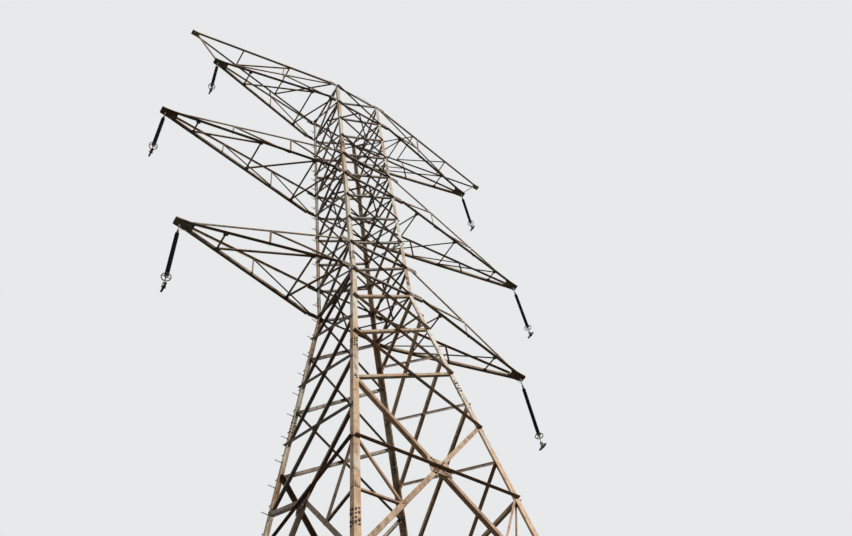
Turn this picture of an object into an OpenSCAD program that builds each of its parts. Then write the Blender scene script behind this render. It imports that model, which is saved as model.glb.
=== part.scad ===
// Lattice transmission pylon: a square straight cage on a spread lattice
// base, with six crossarms, two earth wire arms and six insulator strings.
// Millimetres, Z up, origin on the ground under the tower's axis.
// X runs along the crossarms and Y along the line of the conductors.

/* [Tower] */
// Height of the waist, where the straight cage meets the spread legs
waist_h = 21900; // [19000:100:24000]
// Height of the straight cage above the waist
cage_h = 14650; // [14000:50:16000]
// Half the width of the square cage, over the legs
cage_half = 1010; // [900:10:1200]
// Sideways run of a leg for each unit of height below the waist
leg_batter = 0.1235; // [0.1:0.0005:0.15]

/* [Legs] */
// Flange width of the leg angles in the cage
cage_leg_w = 120; // [100:5:150]
// Flange width of the leg angles below the waist
spread_leg_w = 140; // [130:5:180]
// Flange thickness of the leg angles
leg_t = 12; // [8:1:16]
// Distance from the leg's corner to the bolt line that the bars meet
leg_gauge = 70; // [60:5:80]
// Length of a splice in a leg
splice_l = 460; // [300:10:600]
// Thickness of a splice
splice_t = 8; // [6:1:12]

/* [Footings] */
// Height of a concrete footing above the ground
footing_h = 450; // [300:10:700]
// Width of a footing at the ground
footing_w = 900; // [800:10:1200]
// Width of a footing at its top
footing_top_w = 620; // [500:10:700]
// Width of the square base plate under a leg
base_plate_w = 400; // [320:10:460]
// Thickness of the base plate
base_plate_t = 30; // [20:1:50]

/* [Crossarms] */
// Level of the middle crossarms above the waist
middle_level = 6150; // [5600:50:6600]
// Level of the top crossarms above the waist
top_level = 12750; // [12200:50:12900]
// Depth of the bottom crossarms at the cage
bottom_depth = 1520; // [1300:10:1700]
// Depth of the middle crossarms at the cage
middle_depth = 1600; // [1300:10:1800]
// Reach of the bottom crossarms from the tower's axis
bottom_reach = 5900; // [5500:50:6500]
// Reach of the middle crossarms from the tower's axis
middle_reach = 7200; // [6800:50:7600]
// Reach of the top crossarms from the tower's axis
top_reach = 6000; // [5500:50:6200]
// Reach of the earth wire arms from the tower's axis
earth_reach = 7150; // [6900:50:7600]
// Half the width of a crossarm at its tip
tip_half = 95; // [80:5:120]
// Length of the straight box at a crossarm's tip
tip_l = 450; // [350:10:600]

/* [Bars] */
// Flange of the bars that cross in the cage's faces
cage_bar = 65; // [50:5:75]
// Flange of the bars that cross in the spread faces
spread_bar = 80; // [60:5:90]
// Flange of the level belts
belt_bar = 80; // [70:5:100]
// Flange of the bars from the legs down to the upper belt
upper_vee_bar = 100; // [80:5:120]
// Flange of the bars from the upper belt down to the legs
upper_knee_bar = 100; // [100:5:140]
// Flange of the bars of the base panel
base_bar = 140; // [110:5:150]
// Flange of the light secondary bars
light_bar = 50; // [40:5:60]
// Flange of the crossarms' bottom chords
chord_bar = 90; // [80:5:100]
// Flange of the crossarms' top chords
tie_bar = 60; // [50:5:70]
// Flange of the crossarms' inner bars
web_bar = 45; // [40:5:50]
// Thickness of the thin angles and plates
thin_t = 6; // [5:0.5:7]
// Thickness of the heavy angles and plates
heavy_t = 10; // [8:0.5:12]

/* [Insulator strings] */
// Distance from the hanger pin to the conductor's axis
string_l = 3000; // [2700:10:3300]
// Length of the shedded part of the insulator
shed_l = 2140; // [1900:10:2200]
// Radius of the large sheds
shed_r = 58; // [50:1:70]
// Radius of the small sheds
small_shed_r = 46; // [35:1:50]
// Radius of the insulator's core
core_r = 17; // [14:1:22]
// Distance from one large shed to the next
shed_pitch = 74; // [60:1:90]
// Radius of the hanger pin
pin_r = 11.7; // [10:0.1:14]
// Radial clearance of a pin in its hole
pin_gap = 0.3; // [0.1:0.05:0.5]
// Radius of the arcing ring
ring_r = 125; // [100:5:150]
// Radius of the bore for the conductor
conductor_r = 14; // [10:0.5:16]
// Length of the suspension clamp
clamp_l = 300; // [240:10:360]
// Radius of the bore for the earth wire
earth_wire_r = 8; // [6:0.5:10]

/* [Plates] */
// Number of blank number plates on the front
plate_count = 5; // [3:1:6]
// Width of a number plate
plate_w = 120; // [90:5:130]
// Height of a number plate
plate_h = 190; // [150:5:220]
// Length of the plate on the back
back_plate_l = 460; // [300:10:600]

/* [Hidden] */
$fn = 32;

// Gap that keeps two fixed pieces apart where they don't touch face to face
seat_gap = 0.3;
// How far parts of one node sink into each other to be one piece
sink = 1;
// How far a bar runs past its bolt before it is trimmed at the leg
bar_over = 60;
// Play between an inner bar's trimmed end and the leg's other flange
end_gap = 4;
// Play on each side of the corner between the bars of two faces
corner_gap = 2;
// Step from the corner to the edge of a leg's flange
edge_step = 0.5;

batter_angle = atan(leg_batter);
foot_z = footing_h - waist_h;
batter_cos = cos(batter_angle);

// Levels of the joints in the cage's faces, above the waist
CAGE_PANELS = 3;
cage_levels = concat(
    [0],
    [for (i = [0:CAGE_PANELS]) bottom_depth + i * (middle_level - bottom_depth) / CAGE_PANELS],
    [for (i = [0:CAGE_PANELS]) middle_level + middle_depth
        + i * (top_level - middle_level - middle_depth) / CAGE_PANELS],
    [cage_h]);
// Levels with a level bar in the cage's faces
ring_levels = [0, bottom_depth, middle_level, middle_level + middle_depth, top_level];

// Levels of the joints below the waist: front and back, then left and right
front_levels = [0, -1730, -3770, -5880];
side_levels = [0, -950, -2900, -4930, -6980];
// Where the heavy bars below the upper belt and the base panel's meet the legs
knee_level = -11260;

// The four faces and the four corners, counted from the front
FRONT = 0;
RIGHT = 1;
BACK = 2;
LEFT = 3;
FRONT_LEFT = 0;
FRONT_RIGHT = 1;
BACK_RIGHT = 2;
BACK_LEFT = 3;

// Half width over the legs at a level z above or below the waist
function half_at(z) = z < 0 ? cage_half - leg_batter * z : cage_half;
// Half distance between the bolt lines at a level
function bolt_at(z) = half_at(z) - leg_gauge;
// Distance along the slope of a face for a level
function along(z) = z < 0 ? z / batter_cos : z;
// Level where the two bars of a panel cross
function cross_level(z0, z1) =
    (z1 * bolt_at(z0) + z0 * bolt_at(z1)) / (bolt_at(z0) + bolt_at(z1));

upper_belt = cross_level(front_levels[3], knee_level);
base_belt = cross_level(knee_level, foot_z);

// A point of a face, from its offset across and its level
function face_point(x, z) = [x, along(z)];
// A point part of the way from one to another
function between(p, q, f) = p + f * (q - p);

OUTER = 1;
INNER = -1;
// One bar of a face: its ends, its flange, its thickness and its layer
function bar(p, q, w, t, layer) = [p, q, w, t, layer];
// The two bars that cross in a panel, one outside the legs and one inside
function cross_bars(z0, z1, w, t) = [
    bar(face_point(-bolt_at(z1), z1), face_point(bolt_at(z0), z0), w, t, OUTER),
    bar(face_point(-bolt_at(z0), z0), face_point(bolt_at(z1), z1), w, t, INNER)];
// A level bar from leg to leg
function level_bar(z, dz, w, t, layer) =
    [bar(face_point(-bolt_at(z), z + dz), face_point(bolt_at(z), z + dz), w, t, layer)];

// Puts a face's own plane in place: X across, Y up the slope, Z outwards
module face(side, spread) {
    rotate([0, 0, 90 * side])
        translate([0, -cage_half, waist_h])
            rotate([90 - (spread ? batter_angle : 0), 0, 0])
                children();
}

// An angle bar in a face: one flange in the face, one standing out of it
module face_bar(b) {
    d = b[1] - b[0];
    w = b[2];
    t = b[3];
    translate([b[0].x, b[0].y, b[4] == OUTER ? 0 : -leg_t])
        rotate([0, 0, atan2(d.y, d.x)])
            translate([-bar_over, 0, 0])
                rotate([90, 0, 90])
                    linear_extrude(norm(d) + 2 * bar_over)
                        scale_layer(b[4])
                            polygon([[-w / 2, 0], [w / 2, 0], [w / 2, t],
                                [-w / 2 + t, t], [-w / 2 + t, w], [-w / 2, w]]);
}

// Turns a profile over for the layer inside the legs
module scale_layer(layer) {
    if (layer == OUTER) {
        children();
    } else {
        mirror([0, 1]) children();
    }
}

// The part of a face between the legs, from level z0 up to z1
module trim(z0, z1, inset) {
    deep = 400;
    translate([0, 0, -deep / 2])
        linear_extrude(deep)
            polygon([
                face_point(-half_at(z0) + inset, z0), face_point(half_at(z0) - inset, z0),
                face_point(half_at(z1) - inset, z1), face_point(-half_at(z1) + inset, z1)]);
}

// The bars of one layer of a face, trimmed by an inset from the corners
module bar_layer(bars, layer, z0, z1, inset) {
    chosen = [for (b = bars) if (b[4] == layer) b];
    if (len(chosen) > 0) {
        intersection() {
            union() for (b = chosen) face_bar(b);
            trim(z0, z1, inset);
        }
    }
}

// All bars of a face, trimmed so that they clear the legs
module lattice(bars, z0, z1) {
    bar_layer(bars, OUTER, z0, z1, end_gap);
    bar_layer(bars, INNER, z0, z1, leg_t + end_gap);
}

// The space that belongs to one side, from the tower's axis outwards
module quarter(side) {
    far = 2 * half_at(foot_z);
    rotate([0, 0, 90 * side])
        linear_extrude(waist_h + 2 * cage_h)
            polygon([[0, -corner_gap], [far, -far - corner_gap], [-far, -far - corner_gap]]);
}

// Bars of one side of the tower, mitred at the corners
module side_lattice(side, spread, bars, z0, z1) {
    intersection() {
        face(side, spread) lattice(bars, z0, z1);
        quarter(side);
    }
}

// A plate that fills the space between the outer and the inner bars
module packing(x, z, w, h) {
    translate([x - w / 2, along(z) - h / 2, -leg_t - sink])
        cube([w, h, leg_t + 2 * sink]);
}

// One corner's flange in a face
module leg_flange(side, z0, z1, w, start) {
    translate([0, 0, -leg_t])
        linear_extrude(leg_t)
            polygon([
                face_point(side * (half_at(z0) - start), z0),
                face_point(side * (half_at(z0) - w), z0),
                face_point(side * (half_at(z1) - w), z1),
                face_point(side * (half_at(z1) - start), z1)]);
}

// Both flanges of a leg from level z0 up to z1
module leg_angle(z0, z1, w, spread) {
    face(0, spread) leg_flange(-1, z0, z1, w, edge_step);
    face(-1, spread) leg_flange(1, z0, z1, w, leg_t / 2);
}

// A splice inside the leg's flanges, centred on level z
module splice(z, w, spread) {
    inset = leg_t + splice_t / 2;
    low = z - splice_l / 2;
    high = z + splice_l / 2;
    for (side = [0, 1])
        face(-side, spread)
            mirror([1 - side, 0, 0])
                translate([0, 0, -leg_t - splice_t])
                    linear_extrude(splice_t + sink)
                        polygon([
                            face_point(half_at(low) - inset, low),
                            face_point(half_at(low) - w + inset, low),
                            face_point(half_at(high) - w + inset, high),
                            face_point(half_at(high) - inset, high)]);
}

// Levels of the splices in the cage and below the waist, clear of the joints
cage_splices = [bottom_depth / 2, (cage_levels[5] + cage_levels[6]) / 2];
spread_splices = [
    (front_levels[2] + side_levels[3]) / 2,
    (upper_belt + 3 * knee_level) / 4,
    base_belt + (foot_z - base_belt) / 6];

// A leg from its base plate to the top of the cage
module leg(corner) {
    base_mid = half_at(foot_z) - spread_leg_w / 2;
    color("tan")
        rotate([0, 0, 90 * corner]) {
            leg_angle(0, cage_h, cage_leg_w, false);
            difference() {
                leg_angle(foot_z + base_plate_t / 2, sink, spread_leg_w, true);
                translate([-2 * cage_half, -2 * cage_half, waist_h])
                    cube([4 * cage_half, 4 * cage_half, spread_leg_w]);
            }
            translate([-base_mid - base_plate_w / 2, -base_mid - base_plate_w / 2, footing_h])
                cube([base_plate_w, base_plate_w, base_plate_t]);
            for (z = cage_splices) splice(z, cage_leg_w, false);
            for (z = spread_splices) splice(z, spread_leg_w, true);
        }
}

// A tapered concrete footing under each leg
module footings() {
    mid = half_at(foot_z) - spread_leg_w / 2;
    rim = 150;
    color("gainsboro")
        for (corner = [0:3])
            rotate([0, 0, 90 * corner])
                translate([-mid, -mid, 0])
                    hull() {
                        translate([-footing_w / 2, -footing_w / 2, 0]) cube([footing_w, footing_w, rim]);
                        translate([-footing_top_w / 2, -footing_top_w / 2, footing_h - sink])
                            cube([footing_top_w, footing_top_w, sink]);
                    }
}

gusset_in = 60;
gusset_out = 330;
gusset_h = 180;

// The plates on the front and back faces that carry the crossarms
module arm_gussets(z, h) {
    for (s = [-1, 1])
        translate([s * (cage_half + (gusset_out - cage_leg_w - gusset_in) / 2), z + h / 2, heavy_t / 2])
            cube([gusset_out + cage_leg_w + gusset_in, h, heavy_t], center = true);
    for (s = [-1, 1])
        packing(s * (cage_half - cage_leg_w - gusset_in / 2), z + h / 2, gusset_in - 10, h);
}

// One face of the cage
module cage_bracing(side) {
    has_arms = side % 2 == 0;
    last = len(cage_levels) - 1;
    bars = concat(
        [for (i = [0:last - 1]) each cross_bars(cage_levels[i], cage_levels[i + 1], cage_bar, thin_t)],
        [for (z = ring_levels) each level_bar(z, cage_bar, cage_bar, thin_t, INNER)],
        level_bar(cage_h, -cage_bar, cage_bar, thin_t, INNER));
    color("peru") {
        side_lattice(side, false, bars, end_gap, cage_h);
        face(side, false) {
            for (i = [0:last - 1])
                packing(0, (cage_levels[i] + cage_levels[i + 1]) / 2, cage_bar, cage_bar);
            if (has_arms) {
                for (z = [0, middle_level, top_level]) arm_gussets(z + end_gap, gusset_h);
                for (z = [bottom_depth, middle_level + middle_depth]) arm_gussets(z - gusset_h / 2, gusset_h);
                arm_gussets(cage_h - 1.5 * gusset_h, 1.5 * gusset_h);
            }
        }
    }
}

// Half height and half width of the plate where the heavy bars meet at a belt
belt_gusset_h = 230;
belt_gusset_w = 260;
// Space kept free above and below a belt for the plan bracing
belt_space = 60;

// The light bars from a heavy bar's middle to the leg: one level, one to a belt
function middle_braces(p, q, belt_z) =
    let (mid = between(p, q, 0.5), brace_z = mid.y * batter_cos) [
        bar(mid, face_point(sign(mid.x) * bolt_at(belt_z), belt_z), light_bar, thin_t, INNER),
        bar(mid, face_point(sign(mid.x) * bolt_at(brace_z), brace_z), light_bar, thin_t, INNER)];

// What lies on one side of a face's middle line, in the face's own frame
module face_half(s) {
    mirror([s, 0, 0])
        translate([seat_gap, along(foot_z) - waist_h, -waist_h / 2])
            cube([waist_h, 2 * waist_h, waist_h]);
}

// One face from the waist down to the knee
module leg_bracing(side) {
    levels = side % 2 == 0 ? front_levels : side_levels;
    last = len(levels) - 1;
    crown = face_point(0, upper_belt);
    knee = face_point(bolt_at(knee_level), knee_level);
    crossing = [for (i = [0:last - 1]) each cross_bars(levels[i + 1], levels[i], spread_bar, thin_t)];
    vees = [for (s = [-1, 1])
        bar(face_point(s * bolt_at(levels[last]), levels[last]), crown, upper_vee_bar, heavy_t, INNER)];
    knees = concat([bar(crown, knee, upper_knee_bar, heavy_t, INNER)],
        middle_braces(crown, knee, upper_belt));
    color("peru") {
        side_lattice(side, true, crossing, levels[last] - spread_bar, -end_gap);
        side_lattice(side, true, vees, upper_belt + belt_space, levels[last] + spread_bar);
        side_lattice(side, true, level_bar(upper_belt, 0, belt_bar, thin_t, OUTER),
            upper_belt - belt_bar, upper_belt + belt_bar);
        face(side, true) {
            for (i = [0:last - 1])
                packing(0, cross_level(levels[i + 1], levels[i]), spread_bar, spread_bar);
            packing(0, upper_belt + belt_gusset_h / 2, 2 * belt_gusset_w, belt_gusset_h);
            translate([-belt_gusset_w, crown.y - belt_gusset_h, seat_gap - leg_t])
                cube([2 * belt_gusset_w, belt_gusset_h + sink, leg_t + sink - seat_gap]);
        }
        for (s = [0, 1])
            intersection() {
                face(side, true) mirror([s, 0, 0])
                    lattice(knees, knee_level - spread_bar, upper_belt - belt_space);
                face(side, true) face_half(s);
                quarter(side);
            }
    }
}

// The belt of the base panel and the bars from the knee down to it, in two
// halves that meet at the middle
module base_belt_bracing(side) {
    heel = face_point(0, base_belt);
    knee = face_point(bolt_at(knee_level), knee_level);
    vees = concat([bar(knee, heel, base_bar, heavy_t, INNER)],
        middle_braces(heel, knee, base_belt + belt_bar));
    color("peru")
        for (s = [0, 1])
            intersection() {
                face(side, true)
                    mirror([s, 0, 0]) {
                        lattice(vees, base_belt + belt_space, knee_level - 1.5 * spread_bar);
                        lattice(level_bar(base_belt, 0, belt_bar, thin_t, OUTER),
                            base_belt - belt_bar, base_belt + belt_bar);
                        packing(0, base_belt, 2 * belt_gusset_w, 2 * belt_gusset_h);
                    }
                face(side, true) face_half(s);
                quarter(side);
            }
}

FOOT_BRACES = 2;
// Space between the base belt and the heavy bars below it
foot_space = belt_gusset_h + 10;
// Height over a footing at which the heavy bars are trimmed
foot_clear = base_plate_t + 35;

// The heavy bars from the base belt down to the feet, with their light bars
module foot_bracing(side) {
    foot_end = foot_z + 3 * base_plate_t;
    top = face_point(0, base_belt);
    end = face_point(bolt_at(foot_end), foot_end);
    stops = [for (i = [0:FOOT_BRACES]) between(top, end, i / (FOOT_BRACES + 1))];
    function leg_joint(i) =
        face_point(bolt_at(stops[i].y * batter_cos), stops[i].y * batter_cos - (i == 0 ? belt_bar : 0));
    bars = concat(
        [bar(top, end, base_bar, heavy_t, INNER)],
        [for (i = [1:FOOT_BRACES]) each [
            bar(stops[i], leg_joint(i), light_bar, thin_t, INNER),
            bar(stops[i], leg_joint(i - 1), light_bar, thin_t, INNER)]]);
    color("peru")
        for (s = [0, 1])
            intersection() {
                face(side, true)
                    mirror([s, 0, 0])
                        lattice(bars, foot_z + foot_clear, base_belt - foot_space);
                face(side, true) face_half(s);
                quarter(side);
            }
}

// A ring of four light bars from the middle of each side to the next
module plan_ring(z, reach, bar_w) {
    for (side = [0:3])
        rotate([0, 0, 90 * side])
            intersection() {
                member([-bar_w, -reach - bar_w, waist_h + z], [reach + bar_w, bar_w, waist_h + z],
                    bar_w, thin_t, 1, 1);
                translate([corner_gap, -reach, 0])
                    cube([reach - corner_gap, reach - corner_gap, waist_h + 2 * cage_h]);
            }
}

// The level rings inside the cage, lying on the level bars' flanges
module cage_plan_bracing() {
    inside = cage_half - leg_t - thin_t - seat_gap;
    color("saddlebrown")
        for (z = [0, middle_level, top_level])
            intersection() {
                plan_ring(z + cage_bar / 2 + thin_t, cage_half, light_bar);
                translate([0, 0, waist_h + cage_h / 2])
                    cube([2 * inside, 2 * inside, 2 * cage_h], center = true);
            }
}

// The level ring inside the spread base, at the base belt
module base_plan_bracing() {
    far = 3 * cage_half;
    z = base_belt;
    color("saddlebrown")
        difference() {
            plan_ring(z - light_bar / 2, half_at(z), light_bar);
            for (side = [0:3])
                face(side, true)
                    translate([-far, along(z) - far, -leg_t - sink - seat_gap])
                        cube([2 * far, 2 * far, far]);
        }
}

// An angle bar between two points: sy and sz say which way its flanges lie
module member(a, b, w, t, sy, sz) {
    d = b - a;
    translate(a)
        rotate([0, -asin(d.z / norm(d)), atan2(d.y, d.x)])
            rotate([90, 0, 90])
                linear_extrude(norm(d))
                    polygon([[0, 0], [sy * w, 0], [sy * w, sz * t],
                        [sy * t, sz * t], [sy * t, sz * w], [0, sz * w]]);
}

// Where the straight chords begin and where their level ends begin
chord_start = 200;
cleat_start = 90;
cleat_l = 145;
// Height of the tip box over the bottom of the chords
tip_h = 95;
// How far a chord's inner cleat runs on past the plate on the leg
cleat_over = 60;

// Half width of an arm at x, over its chords
function arm_half(x, reach, box) =
    let (x0 = cage_half + chord_start, x1 = reach - box)
    x > x1 ? tip_half
        : cage_half - sink - (x - x0) / (x1 - x0) * (cage_half - sink - tip_half);

// The bottom and top chords and the inner bars of one side of an arm
module arm_side(bottom, top, reach, posts) {
    x0 = cage_half + chord_start;
    x1 = reach - tip_l;
    join = bottom + tip_h + tie_bar;
    function top_at(x) = top + (x - x0) / (x1 - x0) * (join - top);
    function y_at(x) = -arm_half(x, reach, tip_l);
    stops = concat(posts, [x0 + web_bar]);
    // The chord's level flange points outwards, so it begins clear of the plate on the leg
    free = cage_half + gusset_out + end_gap;
    member([cage_half + cleat_start, -cage_half, bottom], [free + cleat_over, -cage_half, bottom],
        chord_bar, heavy_t, 1, 1);
    member([free, y_at(free) + heavy_t, bottom + sink], [x1, y_at(x1) + heavy_t, bottom + sink],
        chord_bar, heavy_t, -1, 1);
    member([cage_half + cleat_start, -cage_half, top],
        [cage_half + cleat_start + cleat_l, -cage_half, top], tie_bar, thin_t, 1, -1);
    member([x0, y_at(x0) + 4 * sink, top], [x1, y_at(x1), join], tie_bar, thin_t, 1, -1);
    for (i = [0:len(posts) - 1]) {
        x = posts[i];
        next = stops[i + 1];
        member([x, y_at(x) + sink, bottom + thin_t], [x, y_at(x) + sink, top_at(x) - thin_t],
            web_bar, thin_t, 1, 1);
        member([next, y_at(next) + 2 * sink, bottom + web_bar / 2],
            [x, y_at(x) + 2 * sink, top_at(x) - web_bar], web_bar, thin_t, 1, 1);
    }
    // The side plate of the tip
    translate([0, -tip_half + heavy_t + sink, 0])
        rotate([90, 0, 0])
            linear_extrude(heavy_t)
                polygon([[x1 - tip_h, bottom + 2 * sink], [reach, bottom + 2 * sink],
                    [reach, bottom + tip_h], [x1 + heavy_t, join - thin_t],
                    [x1 - tip_h, top_at(x1 - tip_h) - thin_t]]);
}

// The level bars between the two bottom chords, from the tip to the cage.
// The insets say how far inside the chords' outer faces the bars end.
module arm_floor(floor, reach, stations, box, across_inset, start_inset, end_inset) {
    ends = concat(stations, [cage_half + chord_start + web_bar]);
    function y_at(x, inset) = arm_half(x, reach, box) - inset;
    for (i = [0:len(stations) - 1]) {
        x = stations[i];
        next = ends[i + 1];
        member([x, -y_at(x, across_inset), floor + sink], [x, y_at(x, across_inset), floor + sink],
            light_bar, thin_t, 1, 1);
        member([x, -y_at(x, start_inset), floor], [next, y_at(next, end_inset), floor],
            light_bar, thin_t, 1, 1);
    }
}

hanger_x = 160;
hanger_t = 14;
hanger_drop = 90;
hanger_r = 36;

// The box at an arm's tip and the drilled plate that the string hangs from
module arm_tip(bottom, reach) {
    inside = tip_half - 2 * sink;
    translate([reach - tip_l - hanger_drop, -inside, bottom - heavy_t + 3 * sink])
        cube([tip_l + hanger_drop - sink, 2 * inside, heavy_t]);
    translate([reach - heavy_t, -inside, bottom])
        cube([heavy_t - 2 * sink, 2 * inside, tip_h - 3 * sink]);
    translate([reach - tip_l / 2, -inside, bottom + tip_h - heavy_t - sink])
        cube([tip_l / 2 - 3 * sink, 2 * inside, heavy_t]);
    difference() {
        translate([reach - hanger_x, hanger_t / 2, bottom - hanger_drop])
            rotate([90, 0, 0])
                linear_extrude(hanger_t)
                    union() {
                        circle(r = hanger_r);
                        translate([-hanger_r, 0]) square([2 * hanger_r, hanger_drop]);
                    }
        translate([reach - hanger_x, hanger_t, bottom - hanger_drop])
            rotate([90, 0, 0])
                cylinder(r = pin_r + pin_gap, h = 2 * hanger_t);
    }
}

// How far the bottom of an arm's chords lies above the arm's level
chord_lift = 45;

// A whole crossarm that points along +X
module crossarm(level, top, reach, stations, posts) {
    bottom = waist_h + level + chord_lift;
    color("peru") {
        for (s = [0, 1])
            mirror([0, s, 0]) arm_side(bottom, waist_h + top, reach, posts);
        arm_floor(bottom + 3 * sink, reach, stations, tip_l, thin_t, light_bar - heavy_t, heavy_t / 2);
        arm_tip(bottom, reach);
    }
}

BOTTOM_STATIONS = [4570, 2170];
BOTTOM_POSTS = [3370];
MIDDLE_STATIONS = [6030, 3960, 2100];
MIDDLE_POSTS = [4900, 2940];
TOP_STATIONS = [4600, 2130];
TOP_POSTS = [3300];
EARTH_STATIONS = [5050, 3100];
tie_lift = tie_bar / 2;

module bottom_arm(turn) rotate([0, 0, turn])
    crossarm(0, bottom_depth + tie_lift, bottom_reach, BOTTOM_STATIONS, BOTTOM_POSTS);
module middle_arm(turn) rotate([0, 0, turn])
    crossarm(middle_level, middle_level + middle_depth + tie_lift, middle_reach,
        MIDDLE_STATIONS, MIDDLE_POSTS);
module top_arm(turn) rotate([0, 0, turn]) {
    crossarm(top_level, cage_h - 2 * tie_bar, top_reach, TOP_STATIONS, TOP_POSTS);
    earth_wire_posts();
}

earth_bar = 70;
earth_box = 250;
earth_clamp_r = 26;
earth_clamp_l = 120;
earth_bottom = waist_h + cage_h - earth_bar - thin_t;

// The posts from the top crossarm up to the earth wire arm
module earth_wire_posts() {
    x = TOP_POSTS[0];
    x0 = cage_half + chord_start;
    x1 = top_reach - tip_l;
    top = waist_h + cage_h - 2 * tie_bar;
    join = waist_h + top_level + chord_lift + tip_h + tie_bar;
    foot = top + (x - x0) / (x1 - x0) * (join - top);
    color("peru")
        for (s = [0, 1])
            mirror([0, s, 0])
                difference() {
                    member([x, sink - arm_half(x, top_reach, tip_l), foot - tie_bar / 2],
                        [x, thin_t - arm_half(x, earth_reach, earth_box), earth_bottom + web_bar],
                        web_bar, thin_t, 1, 1);
                    translate([0, -2 * cage_half, earth_bottom - seat_gap])
                        cube([2 * x, 2 * cage_half, 2 * web_bar]);
                }
}

// An earth wire arm that points along +X, with its clamp and its stay
module earth_wire_arm(turn) {
    bottom = earth_bottom;
    x0 = cage_half + chord_start;
    x1 = earth_reach - earth_box;
    stay_foot = waist_h + top_level + chord_lift + tip_h - sink + seat_gap;
    clamp_z = bottom - 2 * earth_clamp_r;
    color("peru")
        rotate([0, 0, turn]) {
            for (s = [0, 1])
                mirror([0, s, 0]) {
                    member([cage_half + cleat_start, -cage_half, bottom],
                        [cage_half + cleat_start + cleat_l, -cage_half, bottom],
                        earth_bar, thin_t, 1, 1);
                    member([x0, -arm_half(x0, earth_reach, earth_box), bottom + sink],
                        [x1, -tip_half, bottom + sink], earth_bar, thin_t, 1, 1);
                    translate([x1 - earth_bar, -tip_half + sink, bottom - sink])
                        cube([earth_box + earth_bar, heavy_t, earth_bar - heavy_t]);
                }
            arm_floor(bottom + 2 * sink, earth_reach, EARTH_STATIONS, earth_box,
                2 * thin_t, light_bar + heavy_t, light_bar + heavy_t);
            translate([x1 - earth_bar, 2 * sink - tip_half, bottom - heavy_t + 2 * sink])
                cube([earth_box + earth_bar - sink, 2 * tip_half - 4 * sink, heavy_t]);
            difference() {
                translate([earth_reach - earth_box / 2, earth_clamp_l / 2, clamp_z])
                    rotate([90, 0, 0])
                        linear_extrude(earth_clamp_l)
                            union() {
                                circle(r = earth_clamp_r);
                                translate([-earth_clamp_r / 2, 0])
                                    square([earth_clamp_r, 2 * earth_clamp_r]);
                            }
                translate([earth_reach - earth_box / 2, 0, clamp_z])
                    rotate([90, 0, 0])
                        cylinder(r = earth_wire_r, h = 2 * earth_clamp_l, center = true);
            }
            difference() {
                member([earth_reach - tip_l / 2, light_bar / 2, bottom],
                    [top_reach - tip_l / 4, light_bar / 2, stay_foot - light_bar],
                    light_bar, thin_t, 1, 1);
                translate([0, -tip_half, stay_foot - 2 * tip_half])
                    cube([earth_reach, 2 * tip_half, 2 * tip_half]);
                translate([0, -tip_half, bottom])
                    cube([earth_reach, 2 * tip_half, 2 * tip_half]);
            }
        }
}

ear_t = 10;
ear_gap = 0.5;
ear_r = 24;
fork_l = 95;
fork_end = 30;
link_l = 300;
fitting_l = 80;
fitting_r = 30;
strap_w = 60;
strap_t = 8;
strap_half = 46;
strap_h = 230;
trunnion_r = 12;
horn_r = 6;
horn_bend = 95;
shed_edge = 4;
shed_root = 18;

// The outline of the core with its sheds, from the bottom up
function shed_outline(n) = concat(
    [[0, 0], [core_r, 0]],
    [for (i = [0:2 * n - 1])
        let (z = (i / 2 + 0.25) * shed_pitch, r = i % 2 == 0 ? shed_r : small_shed_r)
        each [[core_r, z + shed_edge], [r, z], [r, z + shed_edge], [core_r, z + shed_root]]],
    [[core_r, shed_l], [0, shed_l]]);

// The flat plates that hang from the pin on both sides of the hanger
module string_fork() {
    rotate([90, 0, 0])
        cylinder(r = pin_r, h = hanger_t + 4 * ear_t, center = true);
    for (s = [-1, 1])
        translate([0, s * (hanger_t / 2 + ear_gap + ear_t / 2), 0])
            rotate([90, 0, 0])
                linear_extrude(ear_t, center = true)
                    union() {
                        circle(r = ear_r);
                        translate([-ear_r, -fork_l]) square([2 * ear_r, fork_l]);
                    }
    translate([-ear_r, -hanger_t / 2 - ear_gap - ear_t, -fork_l])
        cube([2 * ear_r, hanger_t + 2 * ear_gap + 2 * ear_t, fork_end]);
}

// The strap at the lower end, with the holes for the clamp's trunnions
module string_strap() {
    inner = strap_half;
    difference() {
        union() {
            for (s = [0, 1])
                mirror([s, 0, 0])
                    translate([inner, 0, 0])
                        rotate([90, 0, 90])
                            linear_extrude(strap_t)
                                union() {
                                    circle(r = strap_w / 2);
                                    translate([-strap_w / 2, 0]) square([strap_w, strap_h]);
                                }
            translate([-inner - strap_t, -strap_w / 2, strap_h - strap_t])
                cube([2 * (inner + strap_t), strap_w, strap_t]);
        }
        rotate([0, 90, 0])
            cylinder(r = trunnion_r + pin_gap, h = 4 * strap_half, center = true);
    }
}

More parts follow.
